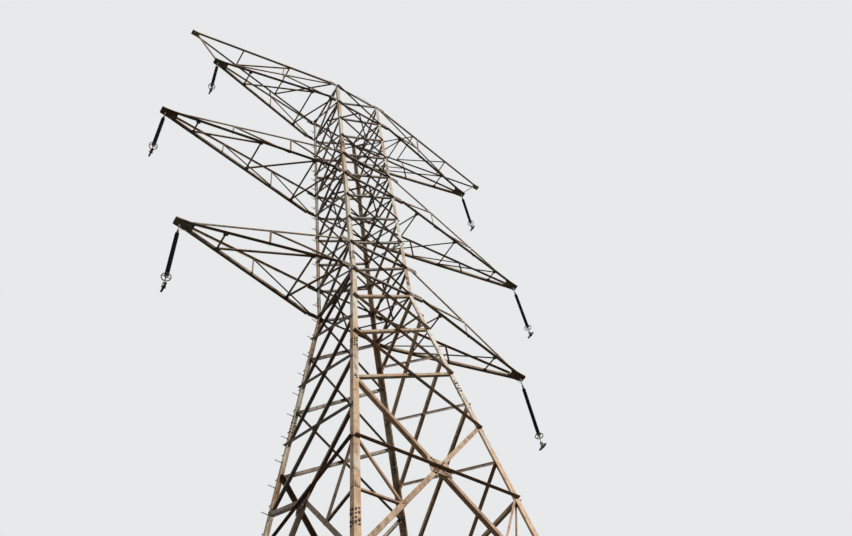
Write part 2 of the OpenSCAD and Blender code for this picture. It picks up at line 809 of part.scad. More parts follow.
// An insulator string that hangs from its pin at the origin
module string() {
    shed_top = -link_l - fitting_l;
    shed_bottom = shed_top - shed_l;
    lower_end = shed_bottom - fitting_l;
    strap_top = -string_l + strap_h;
    color("darkslategray")
        translate([0, 0, shed_bottom])
            rotate_extrude() polygon(shed_outline(floor(shed_l / shed_pitch)));
    color("silver") {
        string_fork();
        translate([0, 0, -link_l - sink]) cylinder(r = pin_r, h = link_l - fork_l + 2 * sink);
        translate([0, 0, shed_top - sink]) cylinder(r = fitting_r, h = fitting_l + sink);
        translate([0, 0, lower_end]) cylinder(r = fitting_r, h = fitting_l + sink);
        // The horn at the upper end
        translate([0, horn_bend, shed_top + fitting_l / 2])
            rotate([0, 90, 0])
                rotate_extrude(angle = -90) translate([horn_bend, 0]) circle(r = horn_r);
        // The ring at the lower end and its spokes
        translate([0, 0, lower_end + fitting_l / 2])
            rotate_extrude() translate([ring_r, 0]) circle(r = horn_r);
        translate([0, 0, lower_end + fitting_l / 2])
            rotate([90, 0, 0])
                cylinder(r = horn_r - sink, h = 2 * ring_r, center = true);
        translate([0, 0, strap_top - strap_t / 2])
            cylinder(r = pin_r, h = lower_end - strap_top + strap_t);
        translate([0, 0, -string_l]) string_strap();
    }
}

saddle_w = 56;
saddle_h = 34;
saddle_end = 24;
keeper_h = 14;
bell = 6;

// A suspension clamp whose trunnions lie at the origin
module clamp() {
    half = clamp_l / 2;
    flat = half * 0.6;
    color("silver")
        difference() {
            union() {
                rotate([90, 0, 90])
                    linear_extrude(saddle_w, center = true)
                        polygon([[-half, -saddle_end], [-flat, -saddle_h], [flat, -saddle_h],
                            [half, -saddle_end], [half, saddle_end], [-half, saddle_end]]);
                translate([-saddle_w / 4, -flat / 2, saddle_end - sink])
                    cube([saddle_w / 2, flat, keeper_h + sink]);
                rotate([0, 90, 0])
                    cylinder(r = trunnion_r, h = 2 * (strap_half + 2 * strap_t), center = true);
            }
            rotate([90, 0, 0])
                cylinder(r = conductor_r, h = 2 * clamp_l, center = true);
            for (s = [-1, 1])
                rotate([90 * s, 0, 0])
                    translate([0, 0, half - 2 * bell])
                        cylinder(r1 = conductor_r, r2 = conductor_r + bell, h = 2 * bell);
        }
}

// Where a string's pin is, for an arm of that level and reach
function pin_at(level, reach) = [reach - hanger_x, 0, waist_h + level + chord_lift - hanger_drop];

module insulator(level, reach, side) {
    p = pin_at(level, reach);
    translate([side * p.x, 0, p.z]) string();
}

module suspension_clamp(level, reach, side) {
    p = pin_at(level, reach);
    translate([side * p.x, 0, p.z - string_l]) clamp();
}

plate_t = 3;
plate_x = -60;
plate_gap = 14;
back_plate_x = -100;
back_plate_h = 150;
rail_h = 40;

// Blank number plates on a rail at the top of the front face
module number_plates() {
    run = plate_count * plate_w + (plate_count - 1) * plate_gap;
    color("whitesmoke")
        face(FRONT, false) {
            translate([plate_x, cage_h - cage_bar - rail_h / 2, -leg_t])
                cube([run, rail_h, thin_t]);
            for (i = [0:plate_count - 1])
                translate([plate_x + i * (plate_w + plate_gap), cage_h - cage_bar - plate_h / 2,
                    thin_t - leg_t - sink])
                    cube([plate_w, plate_h, plate_t + sink]);
        }
}

// The blank plate at the top of the back face
module back_plate() {
    color("gold")
        face(BACK, false)
            translate([back_plate_x, cage_h - cage_bar - back_plate_h / 2, -leg_t])
                cube([back_plate_l, back_plate_h, plate_t]);
}

footings();
leg(FRONT_LEFT);  // front_left_leg
leg(FRONT_RIGHT);  // front_right_leg
leg(BACK_RIGHT);  // back_right_leg
leg(BACK_LEFT);  // back_left_leg
cage_bracing(FRONT);  // front_cage_bracing
cage_bracing(RIGHT);  // right_cage_bracing
cage_bracing(BACK);  // back_cage_bracing
cage_bracing(LEFT);  // left_cage_bracing
leg_bracing(FRONT);  // front_leg_bracing
leg_bracing(RIGHT);  // right_leg_bracing
leg_bracing(BACK);  // back_leg_bracing
leg_bracing(LEFT);  // left_leg_bracing
base_belt_bracing(FRONT);  // front_base_belt
base_belt_bracing(RIGHT);  // right_base_belt
base_belt_bracing(BACK);  // back_base_belt
base_belt_bracing(LEFT);  // left_base_belt
foot_bracing(FRONT);  // front_foot_bracing
foot_bracing(RIGHT);  // right_foot_bracing
foot_bracing(BACK);  // back_foot_bracing
foot_bracing(LEFT);  // left_foot_bracing
cage_plan_bracing();
base_plan_bracing();
bottom_arm(180);  // left_bottom_arm
bottom_arm(0);  // right_bottom_arm
middle_arm(180);  // left_middle_arm
middle_arm(0);  // right_middle_arm
top_arm(180);  // left_top_arm
top_arm(0);  // right_top_arm
earth_wire_arm(180);  // left_earth_wire_arm
earth_wire_arm(0);  // right_earth_wire_arm
insulator(0, bottom_reach, -1);  // left_bottom_insulator
insulator(0, bottom_reach, 1);  // right_bottom_insulator
insulator(middle_level, middle_reach, -1);  // left_middle_insulator
insulator(middle_level, middle_reach, 1);  // right_middle_insulator
insulator(top_level, top_reach, -1);  // left_top_insulator
insulator(top_level, top_reach, 1);  // right_top_insulator
suspension_clamp(0, bottom_reach, -1);  // left_bottom_clamp
suspension_clamp(0, bottom_reach, 1);  // right_bottom_clamp
suspension_clamp(middle_level, middle_reach, -1);  // left_middle_clamp
suspension_clamp(middle_level, middle_reach, 1);  // right_middle_clamp
suspension_clamp(top_level, top_reach, -1);  // left_top_clamp
suspension_clamp(top_level, top_reach, 1);  // right_top_clamp
number_plates();
back_plate();
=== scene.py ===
# %% [markdown]
# # A lattice transmission pylon
#
# The real tower is a square cage of galvanised steel angles on four spread
# legs. Its six crossarms carry insulator strings and its two top arms carry
# the earth wires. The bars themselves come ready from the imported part. This
# lesson gives them their weathered finish, and it models what a bare frame
# lacks: the bolts, the climbing bolts, the strings with their sheds and
# fittings, the clamps, the plates and the concrete footings.

# %% Load the fixed frame
import math
import random

import bmesh
import bpy
from mathutils import Matrix, Vector


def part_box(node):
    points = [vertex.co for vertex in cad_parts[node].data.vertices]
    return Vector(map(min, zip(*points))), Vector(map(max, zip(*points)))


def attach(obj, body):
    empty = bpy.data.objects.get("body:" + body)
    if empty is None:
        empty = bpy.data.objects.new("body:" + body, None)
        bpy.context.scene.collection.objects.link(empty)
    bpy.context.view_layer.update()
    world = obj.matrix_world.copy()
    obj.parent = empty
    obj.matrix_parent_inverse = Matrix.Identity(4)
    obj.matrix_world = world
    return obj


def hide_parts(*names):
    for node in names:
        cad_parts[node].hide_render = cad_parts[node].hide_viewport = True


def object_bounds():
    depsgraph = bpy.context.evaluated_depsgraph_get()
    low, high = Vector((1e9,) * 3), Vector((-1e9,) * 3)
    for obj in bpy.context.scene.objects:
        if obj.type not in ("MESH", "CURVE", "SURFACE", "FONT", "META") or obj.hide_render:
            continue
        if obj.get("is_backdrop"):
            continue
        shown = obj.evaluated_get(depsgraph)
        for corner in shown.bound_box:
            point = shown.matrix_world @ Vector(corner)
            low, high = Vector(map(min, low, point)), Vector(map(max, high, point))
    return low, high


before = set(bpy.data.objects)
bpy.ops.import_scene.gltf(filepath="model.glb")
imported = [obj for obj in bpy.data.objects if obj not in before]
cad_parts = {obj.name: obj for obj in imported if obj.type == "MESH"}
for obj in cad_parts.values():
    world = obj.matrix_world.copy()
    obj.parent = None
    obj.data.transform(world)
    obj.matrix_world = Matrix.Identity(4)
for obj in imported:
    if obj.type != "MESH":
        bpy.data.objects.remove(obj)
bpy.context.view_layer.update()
scene = bpy.context.scene

# %% [markdown]
# ## The tower's own measures
#
# Every bolt sits where two bars meet, so its place follows from the same few driving
# dimensions as the steelwork. They are repeated here in metres. The total height and the
# footings' places are read from the frame instead, and the height is printed beside the value
# that the repeated measures give.

# %% Driving dimensions
WAIST_H = 21.9
CAGE_H = 14.65
CAGE_HALF = 1.01
LEG_BATTER = 0.1235
LEG_GAUGE = 0.07
LEG_T = 0.012
CAGE_LEG_W = 0.12
SPREAD_LEG_W = 0.14
FOOTING_H = 0.45
BASE_PLATE_T = 0.03

MIDDLE_LEVEL = 6.15
TOP_LEVEL = 12.75
BOTTOM_DEPTH = 1.52
MIDDLE_DEPTH = 1.6
CAGE_PANELS = 3

THIN_T = 0.006
HEAVY_T = 0.01

batter_angle = math.atan(LEG_BATTER)
batter_cos = math.cos(batter_angle)
foot_level = FOOTING_H - WAIST_H
top_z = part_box("back_left_leg")[1].z
print("top of the cage", round(top_z, 3), "expected", WAIST_H + CAGE_H)

# %% [markdown]
# A face of the tower is worked out flat: X across, Y up its slope and Z
# outwards. One matrix then stands it up on its side of the tower, upright for
# the cage and leaning for the spread base. Levels are measured from the
# waist, where the cage meets the spread legs.

# %% Levels and the faces' own planes
cage_levels = [0.0]
for i in range(CAGE_PANELS + 1):
    cage_levels.append(BOTTOM_DEPTH + i * (MIDDLE_LEVEL - BOTTOM_DEPTH) / CAGE_PANELS)
upper_start = MIDDLE_LEVEL + MIDDLE_DEPTH
for i in range(CAGE_PANELS + 1):
    cage_levels.append(upper_start + i * (TOP_LEVEL - upper_start) / CAGE_PANELS)
cage_levels.append(CAGE_H)
ring_levels = [0.0, BOTTOM_DEPTH, MIDDLE_LEVEL, upper_start, TOP_LEVEL]

FACES = ("front", "right", "back", "left")
FRONT, RIGHT, BACK, LEFT = range(4)
FRONT_LEVELS = [0.0, -1.73, -3.77, -5.88]
SIDE_LEVELS = [0.0, -0.95, -2.9, -4.93, -6.98]
SPREAD_LEVELS = {FRONT: FRONT_LEVELS, RIGHT: SIDE_LEVELS,
                 BACK: FRONT_LEVELS, LEFT: SIDE_LEVELS}
KNEE_LEVEL = -11.26
QUARTER = math.pi / 2


def moved(x, y, z=0.0):
    """A matrix that moves a shape."""
    return Matrix.Translation((x, y, z))


def spun(angle, axis="Z"):
    """A matrix that turns a shape about an axis."""
    return Matrix.Rotation(angle, 4, axis)


def half_at(z):
    """Half the width over the legs at a level."""
    return CAGE_HALF - LEG_BATTER * z if z < 0 else CAGE_HALF


def bolt_at(z):
    """Half the distance between the legs' bolt lines at a level."""
    return half_at(z) - LEG_GAUGE


def on_face(x, z):
    """A point of a face, from its offset across and its level."""
    return Vector((x, z / batter_cos if z < 0 else z))


def level_of(spot):
    """The level of a point of a face."""
    return spot.y * batter_cos if spot.y < 0 else spot.y


def cross_level(z0, z1):
    """The level where the two bars of a panel cross."""
    return (z1 * bolt_at(z0) + z0 * bolt_at(z1)) / (bolt_at(z0) + bolt_at(z1))


def face_matrix(side, spread):
    """Stands a face's plane up on its side of the tower."""
    lean = QUARTER - (batter_angle if spread else 0)
    return spun(QUARTER * side) @ moved(0, -CAGE_HALF, WAIST_H) @ spun(lean, "X")


upper_belt = cross_level(FRONT_LEVELS[-1], KNEE_LEVEL)
base_belt = cross_level(KNEE_LEVEL, foot_level)
print("belts at", round(WAIST_H + upper_belt, 2), round(WAIST_H + base_belt, 2))

# %% [markdown]
# ## Small tools for modelling
#
# An operator acts on all that is selected, and the frame arrives selected.
# So each piece starts by clearing the selection, and in edit mode its faces
# are picked by their place or their normal instead of by hand.

# %% Selecting and editing


def edit():
    """Enters edit mode."""
    bpy.ops.object.mode_set(mode="EDIT")


def done():
    """Leaves edit mode."""
    bpy.ops.object.mode_set(mode="OBJECT")


def clear():
    """Leaves edit mode, if need be, and selects nothing."""
    if bpy.context.object is not None and bpy.context.object.mode != "OBJECT":
        done()
    bpy.ops.object.select_all(action="DESELECT")


def take(*pieces):
    """Selects these pieces alone and makes the first one active."""
    clear()
    for piece in pieces:
        piece.select_set(True)
    bpy.context.view_layer.objects.active = pieces[0]


def pick(piece, kind, wanted):
    """In edit mode, selects the vertices, edges or faces for which wanted is true."""
    bpy.ops.mesh.select_mode(type=kind)
    bpy.ops.mesh.select_all(action="DESELECT")
    mesh = bmesh.from_edit_mesh(piece.data)
    groups = {"VERT": mesh.verts, "EDGE": mesh.edges, "FACE": mesh.faces}
    for item in groups[kind]:
        if wanted(item):
            item.select_set(True)
    mesh.select_flush_mode()
    bmesh.update_edit_mesh(piece.data)


def extrude(x, y, z):
    """In edit mode, extrudes what is selected and moves it."""
    bpy.ops.mesh.extrude_region_move(TRANSFORM_OT_translate={"value": (x, y, z)})


# %% Finishing, joining and copying


def named(name):
    """Names the active piece and its mesh."""
    piece = bpy.context.object
    piece.name = name
    piece.data.name = name
    return piece


def settled(name):
    """Names a new primitive and moves its place into its mesh."""
    piece = named(name)
    take(piece)
    bpy.ops.object.transform_apply(location=True, rotation=True, scale=True)
    return piece


def joined(name, pieces):
    """Joins finished pieces in one."""
    take(*pieces)
    if len(pieces) > 1:
        bpy.ops.object.join()
    return named(name)


def modified(piece, kind, **settings):
    """Adds a modifier with its settings and applies it."""
    take(piece)
    modifier = piece.modifiers.new(kind.lower(), kind)
    for key, value in settings.items():
        setattr(modifier, key, value)
    bpy.ops.object.modifier_apply(modifier=modifier.name)
    return piece


def smooth(piece, degrees):
    """Shades a piece smooth, except over edges sharper than the angle."""
    take(piece)
    bpy.ops.object.shade_smooth_by_angle(angle=math.radians(degrees))
    return piece


def copied(pattern, place):
    """A copy of a finished shape at its place, with its own mesh."""
    one = pattern.copy()
    one.data = pattern.data.copy()
    one.data.transform(place)
    scene.collection.objects.link(one)
    return one


def copies(pattern, name, places):
    """Copies a finished shape to every place and joins the copies."""
    return joined(name, [copied(pattern, place) for place in places])


def discard(*pieces):
    """Removes patterns that have been copied."""
    for piece in pieces:
        bpy.data.objects.remove(piece)


def carried(piece, material, body="tower"):
    """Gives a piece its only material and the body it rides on."""
    piece.data.materials.clear()
    piece.data.materials.append(material)
    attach(piece, body)
    return piece


# %% [markdown]
# ## Finishes
#
# A colour is written as the sRGB hex value that a colour picker shows, and
# one function turns it to the linear value that a shader computes with. A
# pattern's scale says how many of its cells lie in a metre, so it is worked
# out from the real size of a grain or a cloud. One more function adds a node
# with its settings and its inputs. Most real surfaces are a ground with
# stains over it, so a last one lays the stains, each where its pattern is
# strong. Blender's noise stays near 0.5, and a stain that starts at 0.5
# covers about half of the surface.

# %% Material helpers


def linear(code):
    """Turns an sRGB hex value into a linear colour."""
    parts = [int(code[i:i + 2], 16) / 255 for i in (1, 3, 5)]
    curve = [c / 12.92 if c <= 0.04045 else ((c + 0.055) / 1.055) ** 2.4 for c in parts]
    return (*curve, 1.0)


def per_metre(mm):
    """A pattern's scale, from the real size of its cells."""
    return 1000 / mm


def fill(tree, node, inputs):
    """Fills inputs. Each is a plain value, or an output of another node to link."""
    for key, value in inputs.items():
        if isinstance(value, bpy.types.NodeSocket):
            tree.links.new(value, node.inputs[key])
        else:
            node.inputs[key].default_value = value
    return node


def add(tree, kind, inputs, **settings):
    """Adds a node with its settings and its inputs."""
    made = tree.nodes.new("ShaderNode" + kind)
    for key, value in settings.items():
        setattr(made, key, value)
    return fill(tree, made, inputs)


# Places of the inputs and the output of a colour mix
FACTOR, FIRST, SECOND, MIXED = 0, 6, 7, 2


def layered(tree, ground, *stains):
    """Lays stains over a ground, up to a share, as a pattern goes from start to full."""
    tone = linear(ground)
    for stain, pattern, start, full, share in stains:
        mask = add(tree, "MapRange", {0: pattern, 1: start, 2: full, 4: share})
        mixed = add(tree, "Mix", {FACTOR: mask.outputs[0], FIRST: tone,
                                  SECOND: linear(stain)}, data_type="RGBA")
        tone = mixed.outputs[MIXED]
    return tone


def blank(name):
    """A new material, its node tree and its main shader."""
    material = bpy.data.materials.new(name)
    material.use_nodes = True
    return material, material.node_tree, material.node_tree.nodes["Principled BSDF"]


# %% [markdown]
# ### Hot-dip galvanised steel, weathered
#
# A new galvanised bar is bright and spangled. After decades outdoors the zinc
# has turned to a dull, chalky skin, washed pale where rain runs and stained
# brown where the iron shows through, most of all near the bolts and on the
# heavy legs. So the finish is mixed from broad patches of pale and tan, from
# runs that are long in height and narrow in width, from small dark blotches
# and from the faint crystals of the zinc. The pattern is laid in metres on
# the object's own coordinates, so it is one continuous skin over all bars.

# %% Weathered steel
PATCH_MM = 1900
RUN_WIDTH_MM = 110
RUN_HEIGHT_MM = 1300
BLOTCH_MM = 160
# The real crystals are about 12 mm, drawn twice as coarse so that they show
SPANGLE_MM = 25
# Heights in metres where the zinc is brownest and where it is palest
BROWN_H = 9.0
PALE_H = 30.0


def steel_finish(name, pale, tan, rust, grime, rust_share):
    """Weathered zinc: pale and tan patches, browner low down, runs and blotches."""
    material, tree, shader = blank(name)
    place = add(tree, "TexCoord", {}).outputs["Object"]
    broad = add(tree, "TexNoise", {"Vector": place, "Scale": per_metre(PATCH_MM),
                                   "Detail": 3.0})
    axes = add(tree, "SeparateXYZ", {0: place})
    lower = add(tree, "MapRange", {0: axes.outputs["Z"], 1: BROWN_H, 2: PALE_H,
                                   3: 0.14, 4: -0.03})
    patches = add(tree, "Math", {0: broad.outputs[0], 1: lower.outputs[0]}, operation="ADD")
    run_sizes = (RUN_WIDTH_MM, RUN_WIDTH_MM, RUN_HEIGHT_MM)
    stretch = add(tree, "Mapping", {"Vector": place,
                                    "Scale": [per_metre(size) for size in run_sizes]})
    runs = add(tree, "TexNoise", {"Vector": stretch.outputs[0], "Scale": 1.0,
                                  "Detail": 4.0, "Roughness": 0.6})
    blotches = add(tree, "TexNoise", {"Vector": place, "Scale": per_metre(BLOTCH_MM),
                                      "Detail": 6.0, "Roughness": 0.65})
    tone = layered(tree, pale, (tan, patches.outputs[0], 0.4, 0.62, 1.0),
                   (rust, runs.outputs[0], 0.5, 0.68, rust_share),
                   (grime, blotches.outputs[0], 0.56, 0.7, 0.75))
    spangle = add(tree, "TexVoronoi", {"Vector": place, "Scale": per_metre(SPANGLE_MM)})
    glint = add(tree, "MapRange", {0: spangle.outputs[0], 1: 0.0, 2: 0.7, 3: 1.06, 4: 0.9})
    skin = add(tree, "VectorMath", {0: tone, "Scale": glint.outputs[0]}, operation="SCALE")
    rough = add(tree, "MapRange", {0: blotches.outputs[0], 1: 0.3, 2: 0.7, 3: 0.5, 4: 0.8})
    bump = add(tree, "Bump", {"Height": blotches.outputs[0], "Strength": 0.35,
                              "Distance": 0.004})
    fill(tree, shader, {"Base Color": skin.outputs[0], "Roughness": rough.outputs[0],
                        "Normal": bump.outputs[0], "Metallic": 0.15})
    return material


leg_steel = steel_finish("galvanised_leg_angle",
                         "#e2dbca", "#c4a27c", "#8f6444", "#5d4a3b", 0.7)
bar_steel = steel_finish("galvanised_bracing_angle",
                         "#c4ae8c", "#a88159", "#6d4b35", "#40352c", 0.8)
# A darker copy of the bracing steel: painted shade for the bars on the sides away from the key
# light and in the cage
painted_shade_steel = steel_finish("galvanised_angle_painted_shade",
                            "#938674", "#745b43", "#523a2b", "#2a241f", 0.8)
# A darker copy again for the crossarms: painted shade for their bars, which lie mostly in
# shade
arm_steel_painted_shade = steel_finish("galvanised_arm_angle_painted_shade",
                         "#b3a283", "#92734f", "#614430", "#332b24", 0.8)
bolt_steel = steel_finish("spun_galvanised_bolt",
                          "#8c8173", "#6d5745", "#5a3d2b", "#332a24", 0.9)
forged_steel = steel_finish("galvanised_forging",
                            "#77736b", "#655a4e", "#5a4434", "#35302b", 0.5)
print("steel finishes", [m.name for m in bpy.data.materials if "galvanised" in m.name])

# %% [markdown]
# ### Concrete, glaze, alloy and enamel
#
# The footings are cast in rough timber forms, so their skin is a pale grey
# with darker damp near the ground and small air holes. The sheds are brown
# glazed, glossy but dusty. The clamps are sand-cast alloy, even and dull. The
# plates are vitreous enamel on sheet steel, smooth, with rust creeping in
# from chips.

# %% Cast concrete
CEMENT_CLOUD_MM = 312.5
GRIT_PER_M = 90.0
HOLES_PER_M = 28.0
DAMP_H = 0.22


def concrete_finish():
    """Cast concrete: cement grey, damp and moss low down, pitted with air holes darkened as
    painted shade.
    """
    material, tree, shader = blank("cast_concrete")
    place = add(tree, "TexCoord", {}).outputs["Object"]
    cloud = add(tree, "TexNoise", {"Vector": place, "Scale": per_metre(CEMENT_CLOUD_MM),
                                   "Detail": 7.0, "Roughness": 0.6})
    axes = add(tree, "SeparateXYZ", {0: place})
    tone = layered(tree, "#b7b1a4", ("#938c7f", cloud.outputs[0], 0.38, 0.64, 1.0),
                   ("#6b6656", axes.outputs["Z"], DAMP_H, 0.0, 0.75))
    grit = add(tree, "TexNoise", {"Vector": place, "Scale": GRIT_PER_M, "Detail": 4.0})
    holes = add(tree, "TexVoronoi", {"Vector": place, "Scale": HOLES_PER_M})
    # The colour is darkened down to half inside the air holes: painted shade in the hollows.
    # The same mask also deepens them in the bump
    depth = add(tree, "MapRange", {0: holes.outputs[0], 1: 0.06, 2: 0.12, 3: 0.5, 4: 1.0})
    skin = add(tree, "VectorMath", {0: tone, "Scale": depth.outputs[0]}, operation="SCALE")
    relief = add(tree, "Math", {0: grit.outputs[0], 1: depth.outputs[0]}, operation="ADD")
    bump = add(tree, "Bump", {"Height": relief.outputs[0], "Strength": 0.5,
                              "Distance": 0.004})
    fill(tree, shader, {"Base Color": skin.outputs[0], "Normal": bump.outputs[0],
                        "Roughness": 0.92})
    return material


concrete = concrete_finish()
print("made", concrete.name)

# %% Brown glaze
DUST_PER_M = 9.0


def glaze_finish():
    """Brown porcelain glaze: glossy, duller where dust lies."""
    material, tree, shader = blank("brown_glaze")
    place = add(tree, "TexCoord", {}).outputs["Object"]
    cloud = add(tree, "TexNoise", {"Vector": place, "Scale": DUST_PER_M, "Detail": 5.0})
    tone = layered(tree, "#1d1a1c", ("#33292a", cloud.outputs[0], 0.35, 0.7, 1.0))
    rough = add(tree, "MapRange", {0: cloud.outputs[0], 1: 0.3, 2: 0.7, 3: 0.16, 4: 0.42})
    fill(tree, shader, {"Base Color": tone, "Roughness": rough.outputs[0]})
    return material


glaze = glaze_finish()
print("made", glaze.name)

# %% Cast alloy
DULL_CLOUDS_PER_M = 14.0
# Moulding sand is finer than 1 mm, drawn coarser so that it shows close by
SAND_PER_M = 240.0


def alloy_finish():
    """Sand-cast aluminium alloy, dulled by weather."""
    material, tree, shader = blank("cast_alloy")
    place = add(tree, "TexCoord", {}).outputs["Object"]
    grain = add(tree, "TexNoise", {"Vector": place, "Scale": SAND_PER_M, "Detail": 3.0})
    cloud = add(tree, "TexNoise", {"Vector": place, "Scale": DULL_CLOUDS_PER_M,
                                   "Detail": 5.0})
    tone = layered(tree, "#7f7d78", ("#5a5650", cloud.outputs[0], 0.35, 0.7, 1.0))
    bump = add(tree, "Bump", {"Height": grain.outputs[0], "Strength": 0.3,
                              "Distance": 0.001})
    fill(tree, shader, {"Base Color": tone, "Normal": bump.outputs[0],
                        "Metallic": 0.6, "Roughness": 0.55})
    return material


alloy = alloy_finish()
print("made", alloy.name)

# %% Enamel
FADE_MM = 200
CHIPS_PER_M = 22.0
CHIP_START = 0.62
CHIP_FULL = 0.67


def enamel_finish(name, body, faded):
    """Vitreous enamel on sheet steel, faded in clouds and rusty at its chips."""
    material, tree, shader = blank(name)
    place = add(tree, "TexCoord", {}).outputs["Object"]
    cloud = add(tree, "TexNoise", {"Vector": place, "Scale": per_metre(FADE_MM),
                                   "Detail": 4.0})
    chips = add(tree, "TexNoise", {"Vector": place, "Scale": CHIPS_PER_M,
                                   "Detail": 6.0, "Roughness": 0.7})
    tone = layered(tree, body, (faded, cloud.outputs[0], 0.35, 0.65, 1.0),
                   ("#7a4a2c", chips.outputs[0], CHIP_START, CHIP_FULL, 1.0))
    rough = add(tree, "MapRange", {0: chips.outputs[0], 1: CHIP_START, 2: CHIP_FULL,
                                   3: 0.3, 4: 0.8})
    fill(tree, shader, {"Base Color": tone, "Roughness": rough.outputs[0]})
    return material


pale_enamel = enamel_finish("pale_enamel", "#c6b7a8", "#ab9c8d")
yellow_enamel = enamel_finish("yellow_enamel", "#d8bd52", "#bfa866")
print("made", pale_enamel.name, "and", yellow_enamel.name)

# %% [markdown]
# The frame's nodes carry one plain slot each. The legs are the palest steel. The bracing on
# the sunny sides is a golden tan. The bracing on the other sides and in the cage, and the
# arms, get darker copies of the same steel: painted shade for the bars that lie away from the
# key light.

# %% Dress the frame
for name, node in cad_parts.items():
    if name.endswith("_leg"):
        finish = leg_steel
    # The arms' darker steel is painted shade
    elif name.endswith("_arm"):
        finish = arm_steel_painted_shade
    elif name == "footings":
        finish = concrete
    # The bracing on the other sides and in the cage takes the darker copy: painted shade
    elif name.startswith(("front", "right")) and "cage" not in name:
        finish = bar_steel
    else:
        finish = painted_shade_steel
    if not node.material_slots:
        node.data.materials.append(finish)
    for slot in node.material_slots:
        slot.material = finish
print("dressed", len(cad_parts), "nodes")

# %% [markdown]
# ## Bolts
#
# Thousands of hexagon bolts hold such a tower. Their heads, with a washer,
# show on the outer side of each joint, and their nuts with a thread end show
# on the inner side. One head and one nut are modelled at the size of a 20 mm
# bolt. Each is copied to every joint, turned by chance as a fitter leaves it.

# %% One bolt head and one nut
HEX_R = 0.03 / math.sqrt(3)
HEX_CHAMFER = 0.0022
HEAD_H = 0.013
NUT_H = 0.016
WASHER_R = 0.0185
WASHER_T = 0.003
THREAD_R = 0.0095
THREAD_END = 0.012


def hexagon(name, height):
    """A washer and a hexagon with chamfered corners, standing on the XY plane."""
    top = WASHER_T + height
    clear()
    bpy.ops.mesh.primitive_cylinder_add(vertices=6, radius=HEX_R, depth=height,
                                        location=(0, 0, WASHER_T + height / 2))
    piece = settled(name)
    edit()
    pick(piece, "EDGE", lambda e: all(v.co.z > top - 0.0001 for v in e.verts))
    bpy.ops.mesh.bevel(offset=HEX_CHAMFER, segments=1)
    bpy.ops.mesh.select_all(action="DESELECT")
    bpy.ops.mesh.primitive_cylinder_add(vertices=12, radius=WASHER_R, depth=WASHER_T,
                                        location=(0, 0, WASHER_T / 2))
    done()
    return piece


bolt_head = hexagon("bolt_head", HEAD_H)
bolt_nut = hexagon("bolt_nut", NUT_H)
edit()
bpy.ops.mesh.primitive_cylinder_add(vertices=8, radius=THREAD_R, depth=2 * THREAD_END,
                                    location=(0, 0, WASHER_T + NUT_H))
done()
print("head", len(bolt_head.data.polygons), "nut", len(bolt_nut.data.polygons), "faces")

# %% [markdown]
# A joint is listed by its place in a face, by where its outer and inner
# surfaces lie and by its size. A joint that two bars share is listed twice,
# and the two are merged, so that one bolt runs through both bars. Sizes are
# shares of the 20 mm bolt: the light bars have 16 and 18 mm bolts, and the
# heavy ones 23 mm.

# %% Lists of joints
SMALL, MEDIUM, PLAIN, LARGE = 0.8, 0.9, 1.0, 1.15
SAME_JOINT = 0.026
chance = random.Random(11)


class Joints:
    """Bolts of one group: heads on the outer side and nuts on the inner side."""

    def __init__(self):
        self.found = {}
        self.heads = []
        self.nuts = []

    def note(self, x, y, high, low, size):
        """Notes a bolt at a point of a face, through all that lies from low to high."""
        for (px, py), old in self.found.items():
            if abs(px - x) < SAME_JOINT and abs(py - y) < SAME_JOINT:
                self.found[(px, py)] = (max(old[0], high), min(old[1], low),
                                        max(old[2], size))
                return
        self.found[(x, y)] = (high, low, size)

    def stand(self, matrix):
        """Puts the noted bolts in place with the face's matrix."""
        for (x, y), (high, low, size) in self.found.items():
            self.bolt(matrix @ moved(x, y, high), high - low, size)
        self.found = {}

    def bolt(self, matrix, grip, size):
        """One bolt: its head on the XY plane of the matrix, its nut a grip below."""
        scale = Matrix.Scale(size, 4)
        spin = [spun(chance.uniform(0, math.tau / 6)) for _ in range(2)]
        over = moved(0, 0, -grip) @ spun(math.pi, "X")
        self.heads.append(matrix @ spin[0] @ scale)
        self.nuts.append(matrix @ over @ spin[1] @ scale)

    def piece(self, name):
        """Makes the piece of all its bolts."""
        heads = copies(bolt_head, name + "_heads", self.heads)
        nuts = copies(bolt_nut, name + "_nuts", self.nuts)
        made = carried(joined(name, [heads, nuts]), bolt_steel)
        print(name, len(self.heads), "bolts,", len(made.data.polygons), "faces")


# %% [markdown]
# A bar ends on a leg's flange with one row of bolts, or with two when it is
# heavy. One bar of a crossing pair lies outside the legs and the other inside.

# %% Ends of bars
OUTER, INNER = 1, -1
FLANGE_EDGE = 0.022
LIGHT_ROWS = [(0, 0), (-0.9, 0), (0.9, 0)]
HEAVY_ROWS = [(i, j) for i in (-0.9, 0.1, 1.1) for j in (-0.5, 0.5)]
# Thickness, bolt size, rows, their pitch, and the width of the leg's flange
CAGE_LIGHT = (THIN_T, SMALL, LIGHT_ROWS, 0.035, CAGE_LEG_W)
LIGHT = (THIN_T, SMALL, LIGHT_ROWS, 0.045, SPREAD_LEG_W)
HEAVY = (HEAVY_T, LARGE, HEAVY_ROWS, 0.055, SPREAD_LEG_W)


def directions(point, toward):
    """A bar's own directions in its face: along it and across it."""
    way = (toward - point).normalized()
    return way, Vector((-way.y, way.x))


def leg_end(joints, point, toward, layer, bar):
    """Bolts of a bar's end on a leg: rows along the bar, kept on the leg's flange."""
    thickness, size, rows, pitch, flange = bar
    way, across = directions(point, toward)
    high = thickness if layer == OUTER else 0.0
    low = -LEG_T if layer == OUTER else -LEG_T - thickness
    edge = half_at(level_of(point))
    for i, j in rows:
        spot = point + way * pitch * i + across * pitch * j
        if edge - flange + FLANGE_EDGE < abs(spot.x) < edge - FLANGE_EDGE:
            joints.note(spot.x, spot.y, high, low, size)


